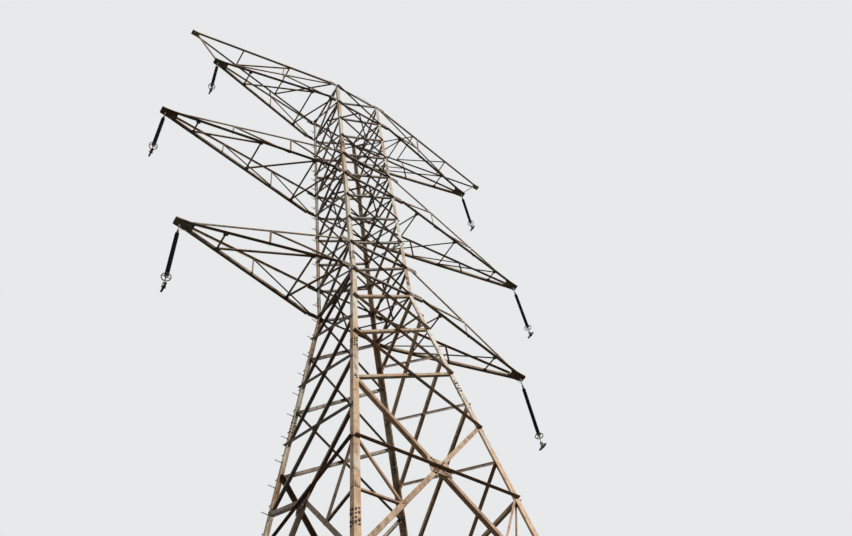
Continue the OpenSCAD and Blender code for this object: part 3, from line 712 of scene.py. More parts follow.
def crossing_joints(joints, levels, bar):
    """Joints of the bars that cross from leg to leg between the levels."""
    for z0, z1 in zip(levels[:-1], levels[1:]):
        low, high = min(z0, z1), max(z0, z1)
        outer = (on_face(-bolt_at(high), high), on_face(bolt_at(low), low))
        inner = (on_face(-bolt_at(low), low), on_face(bolt_at(high), high))
        for (p, q), layer in ((outer, OUTER), (inner, INNER)):
            leg_end(joints, p, q, layer, bar)
            leg_end(joints, q, p, layer, bar)
        middle = cross_level(low, high) if low < 0 else (low + high) / 2
        joints.note(0.0, on_face(0, middle).y, THIN_T, -LEG_T - THIN_T, SMALL)


# %% Joints of the cage and of the crossing bars below it
GUSSET_H = 0.18
GUSSET_LIFT = 0.004
CHORD_MID = 0.1
EARTH_CHORD_DROP = 0.15
LEG_COLUMNS = (0.035, 0.09)
CHORD_COLUMNS = (0.12, 0.18)
CAGE_BAR = 0.065


def arm_plate_joints(joints, plate_z, plate_h, chord_z):
    """Joints of the plates that carry an arm's chord on both legs of a face."""
    for s in (-1, 1):
        for i in range(3):
            y = plate_z - plate_h / 2 + plate_h * (i + 0.5) / 3
            for x in LEG_COLUMNS:
                joints.note(s * (CAGE_HALF - x), y, HEAVY_T, -LEG_T, PLAIN)
        for x in CHORD_COLUMNS:
            joints.note(s * (CAGE_HALF + x), chord_z, HEAVY_T, -HEAVY_T, PLAIN)


faces = {}
for side, label in enumerate(FACES):
    joints = Joints()
    if side in (FRONT, BACK):
        for z in (0.0, MIDDLE_LEVEL, TOP_LEVEL):
            arm_plate_joints(joints, z + GUSSET_LIFT + GUSSET_H / 2, GUSSET_H, z + CHORD_MID)
        for z in (BOTTOM_DEPTH, upper_start):
            arm_plate_joints(joints, z, GUSSET_H, z)
        arm_plate_joints(joints, CAGE_H - 0.75 * GUSSET_H, 1.5 * GUSSET_H,
                         CAGE_H - EARTH_CHORD_DROP)
    crossing_joints(joints, cage_levels, CAGE_LIGHT)
    for z in ring_levels:
        for s in (-1, 1):
            joints.note(s * bolt_at(z), z + CAGE_BAR, 0.0, -LEG_T - THIN_T, SMALL)
    joints.stand(face_matrix(side, False))
    crossing_joints(joints, SPREAD_LEVELS[side], LIGHT)
    faces[label] = joints
print("joints so far", {label: len(joints.heads) for label, joints in faces.items()})

# %% [markdown]
# Below the crossing bars, heavy bars run from the legs to a plate in the
# middle of each belt, and from there down to the next joint on the legs.
# Light bars stiffen them at mid length.

# %% Joints of the heavy bars, the belts and the feet
PLATE_FACE = 0.001
PLATE_ROWS = (0.14, 0.2, 0.26)
ONE_LINE = (0.0,)
TWO_LINES = (-0.028, 0.028)
LOWEST_DROP = 0.08
foot_end = foot_level + 3 * BASE_PLATE_T


def plate_end(joints, point, toward, offsets):
    """Bolts of a heavy bar's end on the plate of a belt."""
    way, across = directions(point, toward)
    for row in PLATE_ROWS:
        for j in offsets:
            spot = point + way * row + across * j
            joints.note(spot.x, spot.y, PLATE_FACE, -LEG_T - HEAVY_T, LARGE)


def belt_ends(joints, level):
    """Bolts of a belt: two on each leg and four on the middle plate."""
    spot = on_face(bolt_at(level), level)
    for s in (-1, 1):
        for x in (spot.x + 0.028, spot.x - 0.032):
            joints.note(s * x, spot.y, THIN_T, -LEG_T, MEDIUM)
        for x in (0.09, 0.2):
            joints.note(s * x, spot.y, THIN_T, -LEG_T - PLATE_FACE, MEDIUM)


def middle_brace_ends(joints, p, q, belt_z):
    """Bolts of the light bars from a heavy bar's middle to the leg."""
    mid = p + (q - p) / 2
    for z in (belt_z, level_of(mid)):
        leg_end(joints, on_face(math.copysign(bolt_at(z), mid.x), z), mid, INNER, LIGHT)
    joints.note(mid.x, mid.y, -LEG_T, -LEG_T - HEAVY_T, SMALL)


for side, label in enumerate(FACES):
    joints = faces[label]
    crown = on_face(0, upper_belt)
    heel = on_face(0, base_belt)
    belt_ends(joints, upper_belt)
    belt_ends(joints, base_belt)
    for s in (-1, 1):
        top, knee, foot = (on_face(s * bolt_at(z), z)
                           for z in (SPREAD_LEVELS[side][-1], KNEE_LEVEL, foot_end))
        for leg_point, belt_point, lines in ((top, crown, ONE_LINE), (knee, crown, TWO_LINES),
                                             (knee, heel, TWO_LINES), (foot, heel, ())):
            leg_end(joints, leg_point, belt_point, INNER, HEAVY)
            plate_end(joints, belt_point, leg_point, lines)
        middle_brace_ends(joints, crown, knee, upper_belt)
        middle_brace_ends(joints, heel, knee, base_belt + LOWEST_DROP)
        stops = [heel + (foot - heel) * i / 3 for i in range(3)]
        for i in (1, 2):
            joints.note(stops[i].x, stops[i].y, -LEG_T, -LEG_T - HEAVY_T, SMALL)
            for near in (i, i - 1):
                z = level_of(stops[near]) - (LOWEST_DROP if near == 0 else 0)
                leg_end(joints, on_face(s * bolt_at(z), z), stops[i], INNER, LIGHT)
    joints.stand(face_matrix(side, True))
    joints.piece(label + "_face_bolts")

# %% [markdown]
# ### Splices
#
# A leg is bolted together from lengths that a lorry can carry. At each splice
# a shorter angle lies inside the two ends, and two rows of bolts go through
# both. These rows are the dark dots that show on the legs from far away.

# %% Bolts of the splices
SPLICE_T = 0.008
SPLICE_BOLT = 1.1
SPLICE_ROWS = [-0.19, -0.13, -0.07, 0.07, 0.13, 0.19]
SPLICE_STAGGER = 0.03
# The two lines of bolts, from the leg's corner and from its free edge
CORNER_GAUGE = 0.042
EDGE_GAUGE = 0.032
cage_splices = [BOTTOM_DEPTH / 2, (cage_levels[5] + cage_levels[6]) / 2]
spread_splices = [(FRONT_LEVELS[2] + SIDE_LEVELS[3]) / 2,
                  (upper_belt + 3 * KNEE_LEVEL) / 4,
                  base_belt + (foot_level - base_belt) / 6]

splices = Joints()
for side in range(4):
    for spread, levels, width in ((False, cage_splices, CAGE_LEG_W),
                                  (True, spread_splices, SPREAD_LEG_W)):
        insets = (CORNER_GAUGE, width - EDGE_GAUGE)
        for z in levels:
            for i, row in enumerate(SPLICE_ROWS):
                for s in (-1, 1):
                    for inset, rise in ((insets[(i + 1) % 2], 0.0),
                                        (insets[i % 2], SPLICE_STAGGER)):
                        spot = on_face(s * (half_at(z + row) - inset), z + row + rise)
                        splices.note(spot.x, spot.y, 0.0, -LEG_T - SPLICE_T, SPLICE_BOLT)
        splices.stand(face_matrix(side, spread))
splices.piece("splice_bolts")

# %% [markdown]
# ## Climbing bolts
#
# One leg carries the climbing bolts: long round bolts with a button head at
# the free end, screwed through one flange and then through the other, a short
# step apart. They start out of reach of the ground and end below the top.

# %% The climbing bolts
STEP_L = 0.165
STEP_R = 0.0085
STEP_PITCH = 0.38
STEP_START = -18.4
STEP_END = CAGE_H - 0.4
STEP_GAUGE = 0.036
BUTTON_H = 0.007
BUTTON_WIDER = 1.9

clear()
bpy.ops.mesh.primitive_cylinder_add(vertices=10, radius=STEP_R, depth=STEP_L,
                                    location=(0, 0, STEP_L / 2))
climbing = settled("climbing_bolt")
edit()
pick(climbing, "FACE", lambda f: f.normal.z > 0.9)
extrude(0, 0, 0.0005)
bpy.ops.transform.resize(value=(BUTTON_WIDER, BUTTON_WIDER, 1), center_override=(0, 0, STEP_L))
extrude(0, 0, BUTTON_H)
bpy.ops.mesh.bevel(offset=0.003, segments=1)
done()
climbing = joined("climbing_bolt", [climbing, copied(bolt_nut, Matrix())])

places = []
step_z = STEP_START
while step_z < STEP_END:
    side, s = (LEFT, -1) if len(places) % 2 == 0 else (BACK, 1)
    spot = on_face(s * (half_at(step_z) - STEP_GAUGE), step_z)
    places.append(face_matrix(side, step_z < 0) @ moved(spot.x, spot.y))
    step_z += STEP_PITCH
carried(copies(climbing, "climbing_bolts", places), bolt_steel)
discard(climbing)
print("climbing bolts", len(places))

# %% [markdown]
# ## Insulator strings
#
# Each arm tip hangs a string from a pin: a fork with a link, a long rod
# insulator and a clamp for the conductor. The rod is one porcelain with many
# sheds, wide and narrow by turns, so that rain drips off each rim. Such a
# form is turned about its axis, so a circle is extruded from ring to ring.
# One pair of sheds is made and an array repeats it down the rod.

# %% Turned shapes


def disc(name, segments, radius, place, lean=0.0, filled=True):
    """A circle that is left in edit mode, selected, to be drawn out or spun."""
    clear()
    bpy.ops.mesh.primitive_circle_add(vertices=segments, radius=radius, location=place,
                                      rotation=(0, lean, 0),
                                      fill_type="NGON" if filled else "NOTHING")
    piece = settled(name)
    edit()
    bpy.ops.mesh.select_mode(type="VERT")
    bpy.ops.mesh.select_all(action="SELECT")
    return piece


def turned(name, outline, segments=16, closed=True):
    """Turns a shape about Z: a circle is extruded through rings of (radius, height)."""
    first_r, first_z = outline[0]
    piece = disc(name, segments, first_r, (0, 0, first_z), filled=closed)
    for (r0, z0), (r1, z1) in zip(outline[:-1], outline[1:]):
        extrude(0, 0, z1 - z0)
        bpy.ops.transform.resize(value=(r1 / r0, r1 / r0, 1), center_override=(0, 0, z1))
    bpy.ops.mesh.select_all(action="SELECT")
    bpy.ops.mesh.normals_make_consistent(inside=False)
    done()
    return piece


# %% Slabs with rounded edges


def slab(name, corner, opposite):
    """A block between two opposite corners, to be shaped further."""
    clear()
    centre = [(a + b) / 2 for a, b in zip(corner, opposite)]
    bpy.ops.mesh.primitive_cube_add(size=1, location=centre,
                                    scale=[abs(b - a) for a, b in zip(corner, opposite)])
    return settled(name)


def rounded(piece, wanted, radius, segments=3):
    """Rounds the edges of a piece for which wanted is true."""
    take(piece)
    edit()
    pick(piece, "EDGE", wanted)
    bpy.ops.mesh.bevel(offset=radius, segments=segments)
    done()
    return piece


def along(axis):
    """True for an edge that runs along X, Y or Z (0, 1 or 2)."""
    def test(edge):
        way = edge.verts[1].co - edge.verts[0].co
        return abs(way[axis]) > 0.99 * way.length
    return test


def turn_to(piece, angle, axis, shift=(0, 0, 0)):
    """Turns a finished piece about the origin, then moves it."""
    piece.data.transform(moved(*shift) @ spun(math.radians(angle), axis))
    return piece


def lift(piece, height):
    """Lifts a finished piece."""
    return turn_to(piece, 0, "Z", (0, 0, height))


# %% The porcelain with its sheds
SHED_PITCH = 0.074
SHED_PAIRS = 28
SHED_TOP = -0.38
SHED_BOTTOM = -2.52
CORE_R = 0.017
LARGE_R = 0.058
SMALL_R = 0.046
SHED_SEGMENTS = 18


def shed_rings(radius, z):
    """One shed from below: a hollow underside, a thin rim and a sloping top."""
    return [(CORE_R, z + 0.003), (0.6 * radius, z + 0.005), (0.93 * radius, z),
            (radius, z + 0.001), (radius, z + 0.003), (0.9 * radius, z + 0.0065),
            (CORE_R + 0.004, z + 0.017), (CORE_R, z + 0.0215)]


pair = [(CORE_R, 0.0), *shed_rings(LARGE_R, SHED_PITCH / 4),
        *shed_rings(SMALL_R, SHED_PITCH * 3 / 4), (CORE_R, SHED_PITCH)]
sheds = turned("sheds", pair, SHED_SEGMENTS, closed=False)
modified(sheds, "ARRAY", count=SHED_PAIRS, use_relative_offset=False,
         use_constant_offset=True, constant_offset_displace=(0, 0, SHED_PITCH),
         use_merge_vertices=True, merge_threshold=0.0004)
neck_z = SHED_PITCH * SHED_PAIRS
neck = turned("neck", [(CORE_R, 0), (CORE_R, SHED_TOP - SHED_BOTTOM - neck_z)],
              SHED_SEGMENTS, closed=False)
sheds = lift(joined("sheds", [sheds, lift(neck, neck_z)]), SHED_BOTTOM)
smooth(sheds, 50)
print("sheds", len(sheds.data.polygons), "faces")

# %% [markdown]
# The fittings are forgings, galvanised and long since dull. A fork takes the
# pin of the arm, a link ends in a ball in the cap of the porcelain, and a
# strap below carries the clamp. A curved horn above and a ring below keep an
# arc away from the porcelain. The horn is a circle that is spun round a
# centre, and its free end is a ball.

# %% The fork, the link and the end caps
FORK_Z = -0.095
FORK_BLOCK_H = 0.03
EAR_R = 0.024
EAR_IN = 0.0075
EAR_OUT = 0.0175
PIN_R = 0.0117
CAP_R = 0.03
CAP_H = 0.08
LINK_R = 0.0108
LINK_END = -0.3
STRING_L = 3.0
STRAP_H = 0.17
STRAP_HALF = 0.036
STRAP_T = 0.008
STRAP_W = 0.05

parts = []
for s in (-1, 1):
    ear = slab("ear", (-EAR_R, s * EAR_IN, FORK_Z + 0.004), (EAR_R, s * EAR_OUT, EAR_R))
    parts.append(rounded(ear, lambda e: along(1)(e) and e.verts[0].co.z > 0, EAR_R * 0.96, 5))
half_x, half_y = EAR_R + 0.002, EAR_OUT + 0.002
block = slab("block", (-half_x, -half_y, FORK_Z), (half_x, half_y, FORK_Z + FORK_BLOCK_H))
parts.append(modified(block, "BEVEL", width=0.005, segments=3))
pin = turned("pin", [(0.016, 0.0), (0.018, 0.003), (0.018, 0.009), (0.016, 0.011),
                     (PIN_R, 0.011), (PIN_R, 0.058), (0.0095, 0.061)])
parts.append(turn_to(pin, 90, "X", (0, 0.0285, 0)))
split = turned("split", [(0.0022, -0.021), (0.0022, 0.021)], 6)
parts.append(turn_to(split, 20, "Y", (0, -0.026, 0)))
parts.append(turned("link", [(0.019, FORK_Z + 0.006), (0.019, FORK_Z - 0.012),
                             (0.013, FORK_Z - 0.022), (LINK_R, FORK_Z - 0.03),
                             (LINK_R, LINK_END + 0.02), (0.014, LINK_END + 0.01),
                             (0.0165, LINK_END - 0.002)]))
cap = [(0.024, 0.0), (CAP_R, 0.003), (CAP_R, 0.034), (0.0275, 0.042), (0.0275, 0.056),
       (0.022, 0.066), (0.02, CAP_H)]
parts.append(lift(turned("top_cap", cap, 18), SHED_TOP))
parts.append(turn_to(turned("low_cap", cap, 18), 180, "X", (0, 0, SHED_BOTTOM)))
lower_end = SHED_BOTTOM - CAP_H
strap_top = -STRING_L + STRAP_H
parts.append(turned("eye_bolt", [(0.0165, strap_top - 0.024), (0.0165, strap_top - 0.008),
                                 (LINK_R, strap_top - 0.008), (LINK_R, lower_end - 0.02),
                                 (0.017, lower_end - 0.012), (0.017, lower_end + 0.004)]))
print("fork, link and caps", len(parts), "parts")

# %% The horn and the ring
HORN_R = 0.006
HORN_BEND = 0.31
HORN_LEAN = math.radians(32)
HORN_TURN = math.radians(50)
RING_R = 0.115
RING_TUBE_R = 0.013
RING_Z = SHED_BOTTOM - CAP_H / 2

horn_z = LINK_END + 0.012
centre = (-HORN_BEND * math.cos(HORN_LEAN), 0, horn_z - HORN_BEND * math.sin(HORN_LEAN))
parts.append(disc("horn", 10, HORN_R, (0, 0, horn_z), -HORN_LEAN))
bpy.ops.mesh.spin(steps=10, angle=HORN_TURN, center=centre, axis=(0, 1, 0))
done()
horn_end = (centre[0] + HORN_BEND * math.cos(HORN_LEAN + HORN_TURN), 0,
            centre[2] + HORN_BEND * math.sin(HORN_LEAN + HORN_TURN))
print("horn ends at", [round(v, 3) for v in horn_end])
clear()
bpy.ops.mesh.primitive_uv_sphere_add(segments=12, ring_count=8, radius=2 * HORN_R,
                                     location=horn_end)
parts.append(settled("horn_ball"))
collar = slab("horn_collar", (-0.022, -0.018, LINK_END - 0.006),
              (0.022, 0.018, LINK_END + 0.014))
parts.append(rounded(collar, along(2), 0.006, 2))

clear()
bpy.ops.mesh.primitive_torus_add(major_radius=RING_R, minor_radius=RING_TUBE_R,
                                 major_segments=36, minor_segments=10,
                                 location=(0, 0, RING_Z))
parts.append(settled("ring"))
for turn in (0, 90):
    bracket = slab("bracket", (-RING_R, -0.0045, -0.014), (RING_R, 0.0045, 0.014))
    rounded(bracket, along(0), 0.003, 2)
    parts.append(turn_to(bracket, turn, "Z", (0, 0, RING_Z)))

# %% The strap
half_x = STRAP_HALF + STRAP_T
for s in (-1, 1):
    side_plate = slab("strap_side", (s * STRAP_HALF, -STRAP_W / 2, -STRING_L - STRAP_W / 2),
                      (s * half_x, STRAP_W / 2, strap_top))
    parts.append(rounded(side_plate, lambda e: along(0)(e) and e.verts[0].co.z < -STRING_L,
                         STRAP_W * 0.48, 5))
bridge = slab("strap_bridge", (-half_x, -STRAP_W / 2, strap_top - STRAP_T),
              (half_x, STRAP_W / 2, strap_top))
parts.append(rounded(bridge, along(1), 0.003, 2))
parts.append(turn_to(copied(bolt_nut, Matrix()), 180, "X", (0, 0, strap_top - STRAP_T)))
fittings = smooth(joined("fittings", parts), 40)
print("fittings", len(fittings.data.polygons), "faces")

# %% [markdown]
# ### The clamps
#
# The conductor lies in a boat of cast alloy with a bell mouth at each end, so
# that it is never bent over an edge. A keeper presses it down, held by two
# U-bolts, and two trunnions let the boat rock in its strap. The boat is a
# block that is drawn out and thinned towards its ends. The groove is cut with
# a turned shape, wide at both mouths.

# %% The boat and its groove
CLAMP_HALF = 0.15
SADDLE_W = 0.056
SADDLE_H = 0.034
GROOVE_R = 0.0145
MOUTH_R = 0.0245
MOUTH_L = 0.014

boat = slab("boat", (-SADDLE_W / 2, -0.05, -SADDLE_H), (SADDLE_W / 2, 0.05, 0.024))
edit()
for s in (-1, 1):
    tip = 0.05
    for reach, width, tall in ((0.04, 0.94, 0.94), (0.035, 0.9, 0.9), (0.025, 0.95, 0.93)):
        pick(boat, "FACE", lambda f: f.normal.y * s > 0.9)
        extrude(0, s * reach, 0)
        tip += reach
        bpy.ops.transform.resize(value=(width, 1, tall), center_override=(0, s * tip, 0.004))
done()
modified(boat, "BEVEL", width=0.005, segments=2, limit_method="ANGLE",
         angle_limit=math.radians(50))
groove = turned("groove", [(MOUTH_R, -CLAMP_HALF - 0.004), (GROOVE_R, MOUTH_L - CLAMP_HALF),
                           (GROOVE_R, CLAMP_HALF - MOUTH_L), (MOUTH_R, CLAMP_HALF + 0.004)],
                20)
turn_to(groove, 90, "X")
modified(boat, "BOOLEAN", object=groove, operation="DIFFERENCE", solver="EXACT")
discard(groove)
print("boat", len(boat.data.polygons), "faces")

# %% The keeper, the U-bolts and the trunnions
TRUNNION_R = 0.0118
U_HALF = 0.0225
U_AT = 0.028
U_ROD_R = 0.005
U_TOP = 0.0365
U_ARM = 0.058
U_NUT_Z = 0.0242
U_NUT_SIZE = 0.62

parts = [boat]
keeper = slab("keeper", (-0.015, -0.042, 0.018), (0.015, 0.042, 0.034))
parts.append(rounded(keeper, lambda e: all(v.co.z > 0.03 for v in e.verts), 0.004, 2))
for s in (-1, 1):
    parts.append(disc("u_bolt", 8, U_ROD_R, (U_HALF, s * U_AT, U_TOP)))
    extrude(0, 0, -U_ARM)
    bpy.ops.mesh.spin(steps=8, angle=math.pi, center=(0, s * U_AT, U_TOP - U_ARM),
                      axis=(0, 1, 0))
    extrude(0, 0, U_ARM)
    done()
for s in (-1, 1):
    trunnion = turned("trunnion", [(0.018, 0.02), (0.018, 0.034), (TRUNNION_R, 0.035),
                                   (TRUNNION_R, 0.058), (0.0095, 0.061)])
    parts.append(turn_to(trunnion, 90 * s, "Y"))
nut_places = [moved(x, y, U_NUT_Z) @ Matrix.Scale(U_NUT_SIZE, 4)
              for x in (-U_HALF, U_HALF) for y in (-U_AT, U_AT)]
clamp = joined("clamp", [joined("clamp_body", parts),
                         copies(bolt_nut, "clamp_nuts", nut_places)])
smooth(clamp, 40)
print("clamp", len(clamp.data.polygons), "faces")

# %% Six strings and six clamps
# What brings a piece of the right side to either side of the tower
TURNS = {"right": Matrix(), "left": spun(math.pi)}

for side in ("left", "right"):
    for level in ("bottom", "middle", "top"):
        low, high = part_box(f"{side}_{level}_clamp")
        pin_place = Vector(((low.x + high.x) / 2, 0, low.z + SADDLE_H + STRING_L))
        hang = moved(*pin_place) @ TURNS[side]
        rest = moved(pin_place.x, 0, pin_place.z - STRING_L) @ TURNS[side]
        for pattern, kind, node, place, body, finish, slot in (
                (sheds, "sheds", "insulator", hang, "string", glaze, "insulator_set"),
                (fittings, "fittings", "insulator", hang, "string", forged_steel,
                 "galvanised_steel"),
                (clamp, "clamp", "clamp", rest, "saddle", alloy, "clamp_alloy")):
            made = copies(pattern, f"{side}_{level}_{kind}_detail", [place])
            carried(made, finish, f"{side}_{level}_{body}")
            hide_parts(f"{side}_{level}_{node}")
discard(sheds, fittings, clamp)
print("strings hang at x", round(pin_place.x, 2), "z", round(pin_place.z, 2))

# %% [markdown]
# ## Joints of the crossarms
#
# A crossarm is two leaning trusses that meet at the tip, with a floor of
# level bars between their bottom chords. In each truss the posts and the
# slanting bars are bolted to the upright flanges of the chords. In the floor
# small plates under the chords take the level bars. Every bolt is placed by
# the lines of the truss it belongs to.

# %% Lines of a crossarm
ARM_START = CAGE_HALF + 0.2
TIP_L = 0.45
TIP_HALF = 0.095
TIP_H = 0.095
CHORD_LIFT = 0.045
CHORD_BAR = 0.09
TIE_BAR = 0.06
WEB_BAR = 0.045
LIGHT_BAR = 0.05
SINK = 0.001
FLOOR_PLATE_T = 0.007
TIP_FLANGE_T = 0.009
TIP_TAPER = 0.06

# Height over the waist, top, places of the level bars and of the posts
ARMS = {
    "bottom": (0.0, BOTTOM_DEPTH + TIE_BAR / 2, (4.57, 2.17), (3.37,)),
    "middle": (MIDDLE_LEVEL, upper_start + TIE_BAR / 2, (6.03, 3.96, 2.1), (4.9, 2.94)),
    "top": (TOP_LEVEL, CAGE_H - 2 * TIE_BAR, (4.6, 2.13), (3.3,)),
}


class Arm:
    """The outer faces of an arm that points along +X, from the cage to its tip."""

    def __init__(self, reach, box):
        self.reach = reach
        self.x0 = ARM_START
        self.x1 = reach - box
        self.drop = (CAGE_HALF - SINK - TIP_HALF) / (self.x1 - self.x0)

    def half(self, x):
        """Half the width over the chords at x."""
        return CAGE_HALF - SINK - (min(max(x, self.x0), self.x1) - self.x0) * self.drop

    def upright(self, x, z, s, inwards=0.0):
        """A matrix on a truss's outer face, Z outwards; s is -1 in front, 1 behind."""
        lean = math.atan(self.drop) if self.x0 < x < self.x1 else 0.0
        spot = moved(x, s * (self.half(x) - inwards), z)
        return spot @ spun(-s * lean) @ spun(-s * QUARTER, "X")


def below(x, y, z):
    """A matrix at a point, with its Z down."""
    return moved(x, y, z) @ spun(math.pi, "X")


def arm_of(node, box):
    """The lines of an arm whose reach is that of its node."""
    low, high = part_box(node)
    return Arm(max(high.x, -low.x), box)


# %% Bolts of a truss and of a floor
POST_RISES = (0.03, 0.063)
POST_DROP = 0.036
WEB_STEPS = (0.03, 0.07)
ROOT_STEPS = (0.035, 0.09)
TIP_STEPS = (0.07, 0.03)
TIP_RISES = (0.03, 0.068)
TIP_BOX_BACKS = (0.045, 0.1, 0.25, 0.34)
TIP_SIDE_RISE = 0.042
TIP_UNDER_Y = 0.062
FLOOR_INSET = 0.042
FLOOR_STEP = 0.045


def truss_joints(joints, arm, bottom, tie_at, posts, s):
    """Bolts of one truss: its posts and slanting bars, its root and its tip."""
    root = arm.x0 + WEB_BAR
    for x, nearer in zip(posts, [*posts[1:], root]):
        for rise in POST_RISES:
            joints.bolt(arm.upright(x - WEB_BAR / 2, bottom + rise, s), HEAVY_T, SMALL)
        joints.bolt(arm.upright(x - WEB_BAR / 2, tie_at(x) - POST_DROP, s, SINK),
                    9 * SINK, SMALL)
        start = Vector((nearer, bottom + WEB_BAR / 2))
        way, across = directions(start, Vector((x, tie_at(x) - WEB_BAR)))
        plate = HEAVY_T if nearer == root else 0.0
        for step in WEB_STEPS:
            spot = start + way * step + across * WEB_BAR / 2
            joints.bolt(arm.upright(spot.x, spot.y, s, -plate), HEAVY_T + plate, SMALL)
    for step in ROOT_STEPS:
        x = arm.x0 + step
        joints.bolt(arm.upright(x, tie_at(x) - TIE_BAR / 2, s, -HEAVY_T), 2 * HEAVY_T, MEDIUM)
    for step in TIP_STEPS:
        x = arm.x1 - step
        grip = arm.half(x) - TIP_HALF + HEAVY_T + SINK
        for z in (*(bottom + rise for rise in TIP_RISES), tie_at(x) - TIE_BAR / 2):
            joints.bolt(arm.upright(x, z, s), grip, MEDIUM)
    for back in TIP_BOX_BACKS:
        x = arm.reach - back
        joints.bolt(arm.upright(x, bottom + TIP_SIDE_RISE, s, -TIP_FLANGE_T),
                    2 * HEAVY_T, MEDIUM)
        joints.bolt(below(x, s * TIP_UNDER_Y, bottom - 7 * SINK), HEAVY_T, MEDIUM)


def floor_joints(joints, arm, under, stations):
    """Bolts of the floor's level bars and of the slanting bars between them."""
    grip = FLOOR_PLATE_T + 9 * SINK
    for x, nearer in zip(stations, [*stations[1:], arm.x0 + WEB_BAR]):
        for s in (-1, 1):
            y = s * (arm.half(x) - FLOOR_INSET)
            joints.bolt(below(x - LIGHT_BAR / 2, y, under), grip, MEDIUM)
        start = Vector((x, LIGHT_BAR - HEAVY_T - arm.half(x)))
        end = Vector((nearer, arm.half(nearer) - HEAVY_T / 2))
        way, across = directions(start, end)
        spot = end - way * FLOOR_STEP + across * LIGHT_BAR / 2
        joints.bolt(below(spot.x, spot.y, under), grip, MEDIUM)


# %% The plates under a floor and the angles along a tip
EDGE_BEVEL = {"segments": 1, "limit_method": "ANGLE"}
PLATE_BOLT_STEP = 0.042
PLATE_BOLT_OUT = 0.022

floor_plate = slab("floor_plate", (-0.07, -0.05, -FLOOR_PLATE_T), (0.07, 0.07, 0.0))
rounded(floor_plate, along(2), 0.02, 1)
modified(floor_plate, "BEVEL", width=0.0008, **EDGE_BEVEL)
print("floor plate", len(floor_plate.data.polygons), "faces")


def floor_plates(joints, arm, under, stations):
    """The plates under the chords where the level bars meet them, and their bolts."""
    places = []
    for station in stations:
        x = station - LIGHT_BAR / 2
        for s in (-1, 1):
            angle = -s * math.atan(arm.drop) + (math.pi if s > 0 else 0)
            places.append(moved(x, s * arm.half(x), under + FLOOR_PLATE_T) @ spun(angle))
            for shift in (-PLATE_BOLT_STEP, PLATE_BOLT_STEP):
                y = s * (arm.half(x + shift) + PLATE_BOLT_OUT)
                joints.bolt(below(x + shift, y, under), FLOOR_PLATE_T + HEAVY_T, MEDIUM)
    return copies(floor_plate, "floor_plates", places)


def tip_angle(arm, bottom, s):
    """The chord's angle, carried on along the tip, its level flange cut to a taper."""
    near, far = TIP_HALF - SINK / 2, TIP_HALF + CHORD_BAR - HEAVY_T
    start, end = arm.x1 - 0.02, arm.reach - 0.003
    foot = bottom + SINK

    flat = slab("tip_flat", (start, s * near, foot), (end, s * far, foot + TIP_FLANGE_T))
    edit()
    pick(flat, "VERT", lambda v: abs(v.co.y) > far - SINK and v.co.x > arm.x1 + 0.1)
    bpy.ops.transform.translate(value=(0, -s * TIP_TAPER, 0))
    done()
    upright = slab("tip_upright", (start, s * near, foot),
                   (end, s * (near + TIP_FLANGE_T), bottom + 0.075))
    return modified(joined("tip_angle", [flat, upright]), "BEVEL", width=0.001, **EDGE_BEVEL)


# %% Dress the six crossarms
def turned_bolts(joints, turn, name):
    """Turns an arm's bolts to its side of the tower and makes their piece."""
    joints.heads = [turn @ place for place in joints.heads]
    joints.nuts = [turn @ place for place in joints.nuts]
    joints.piece(name)


for side, turn in TURNS.items():
    for level, (lift_z, tie_top, stations, posts) in ARMS.items():
        arm = arm_of(f"{side}_{level}_arm", TIP_L)
        bottom = WAIST_H + lift_z + CHORD_LIFT
        top = WAIST_H + tie_top
        slope = (bottom + TIP_H + TIE_BAR - top) / (arm.x1 - arm.x0)
        joints = Joints()
        angles = []
        for s in (-1, 1):
            truss_joints(joints, arm, bottom, lambda x: top + (x - arm.x0) * slope, posts, s)
            angles.append(tip_angle(arm, bottom, s))
        under = bottom + SINK - FLOOR_PLATE_T
        floor_joints(joints, arm, under, stations)
        plates = joined(f"{side}_{level}_arm_plates",
                        [floor_plates(joints, arm, under, stations), *angles])
        plates.data.transform(turn)
        carried(plates, arm_steel_painted_shade)
        turned_bolts(joints, turn, f"{side}_{level}_arm_bolts")
discard(floor_plate)

# %% Bolts of the earth wire arms
EARTH_BAR = 0.07
EARTH_BOX = 0.25
EARTH_STATIONS = (5.05, 3.1)
EARTH_BOTTOM = WAIST_H + CAGE_H - EARTH_BAR - THIN_T
EARTH_RISE = 0.03

for side, turn in TURNS.items():
    arm = arm_of(f"{side}_earth_wire_arm", EARTH_BOX)
    joints = Joints()
    for s in (-1, 1):
        for x in EARTH_STATIONS:
            y = s * (arm.half(x) - EARTH_BAR / 2)
            joints.bolt(below(x - 0.02, y, EARTH_BOTTOM + SINK), 8 * SINK, SMALL)
        for x in (0.12, 0.18, 0.24, 0.3):
            joints.bolt(arm.upright(CAGE_HALF + x, EARTH_BOTTOM + 0.036, s, -HEAVY_T),
                        2 * HEAVY_T, SMALL)
        for x in (arm.reach - 0.04, arm.reach - 0.19, arm.x1 - 0.035):
            joints.bolt(arm.upright(x, EARTH_BOTTOM + EARTH_RISE, s, SINK), HEAVY_T, SMALL)
        post = ARMS["top"][3][0] - WEB_BAR / 2
        joints.bolt(arm.upright(post, EARTH_BOTTOM + EARTH_RISE, s), 2 * THIN_T, SMALL)
    turned_bolts(joints, turn, f"{side}_earth_wire_arm_bolts")

# %% Bolts of the level rings
RING_BOLT_IN = 0.06
RING_BOLT_STEP = 0.03

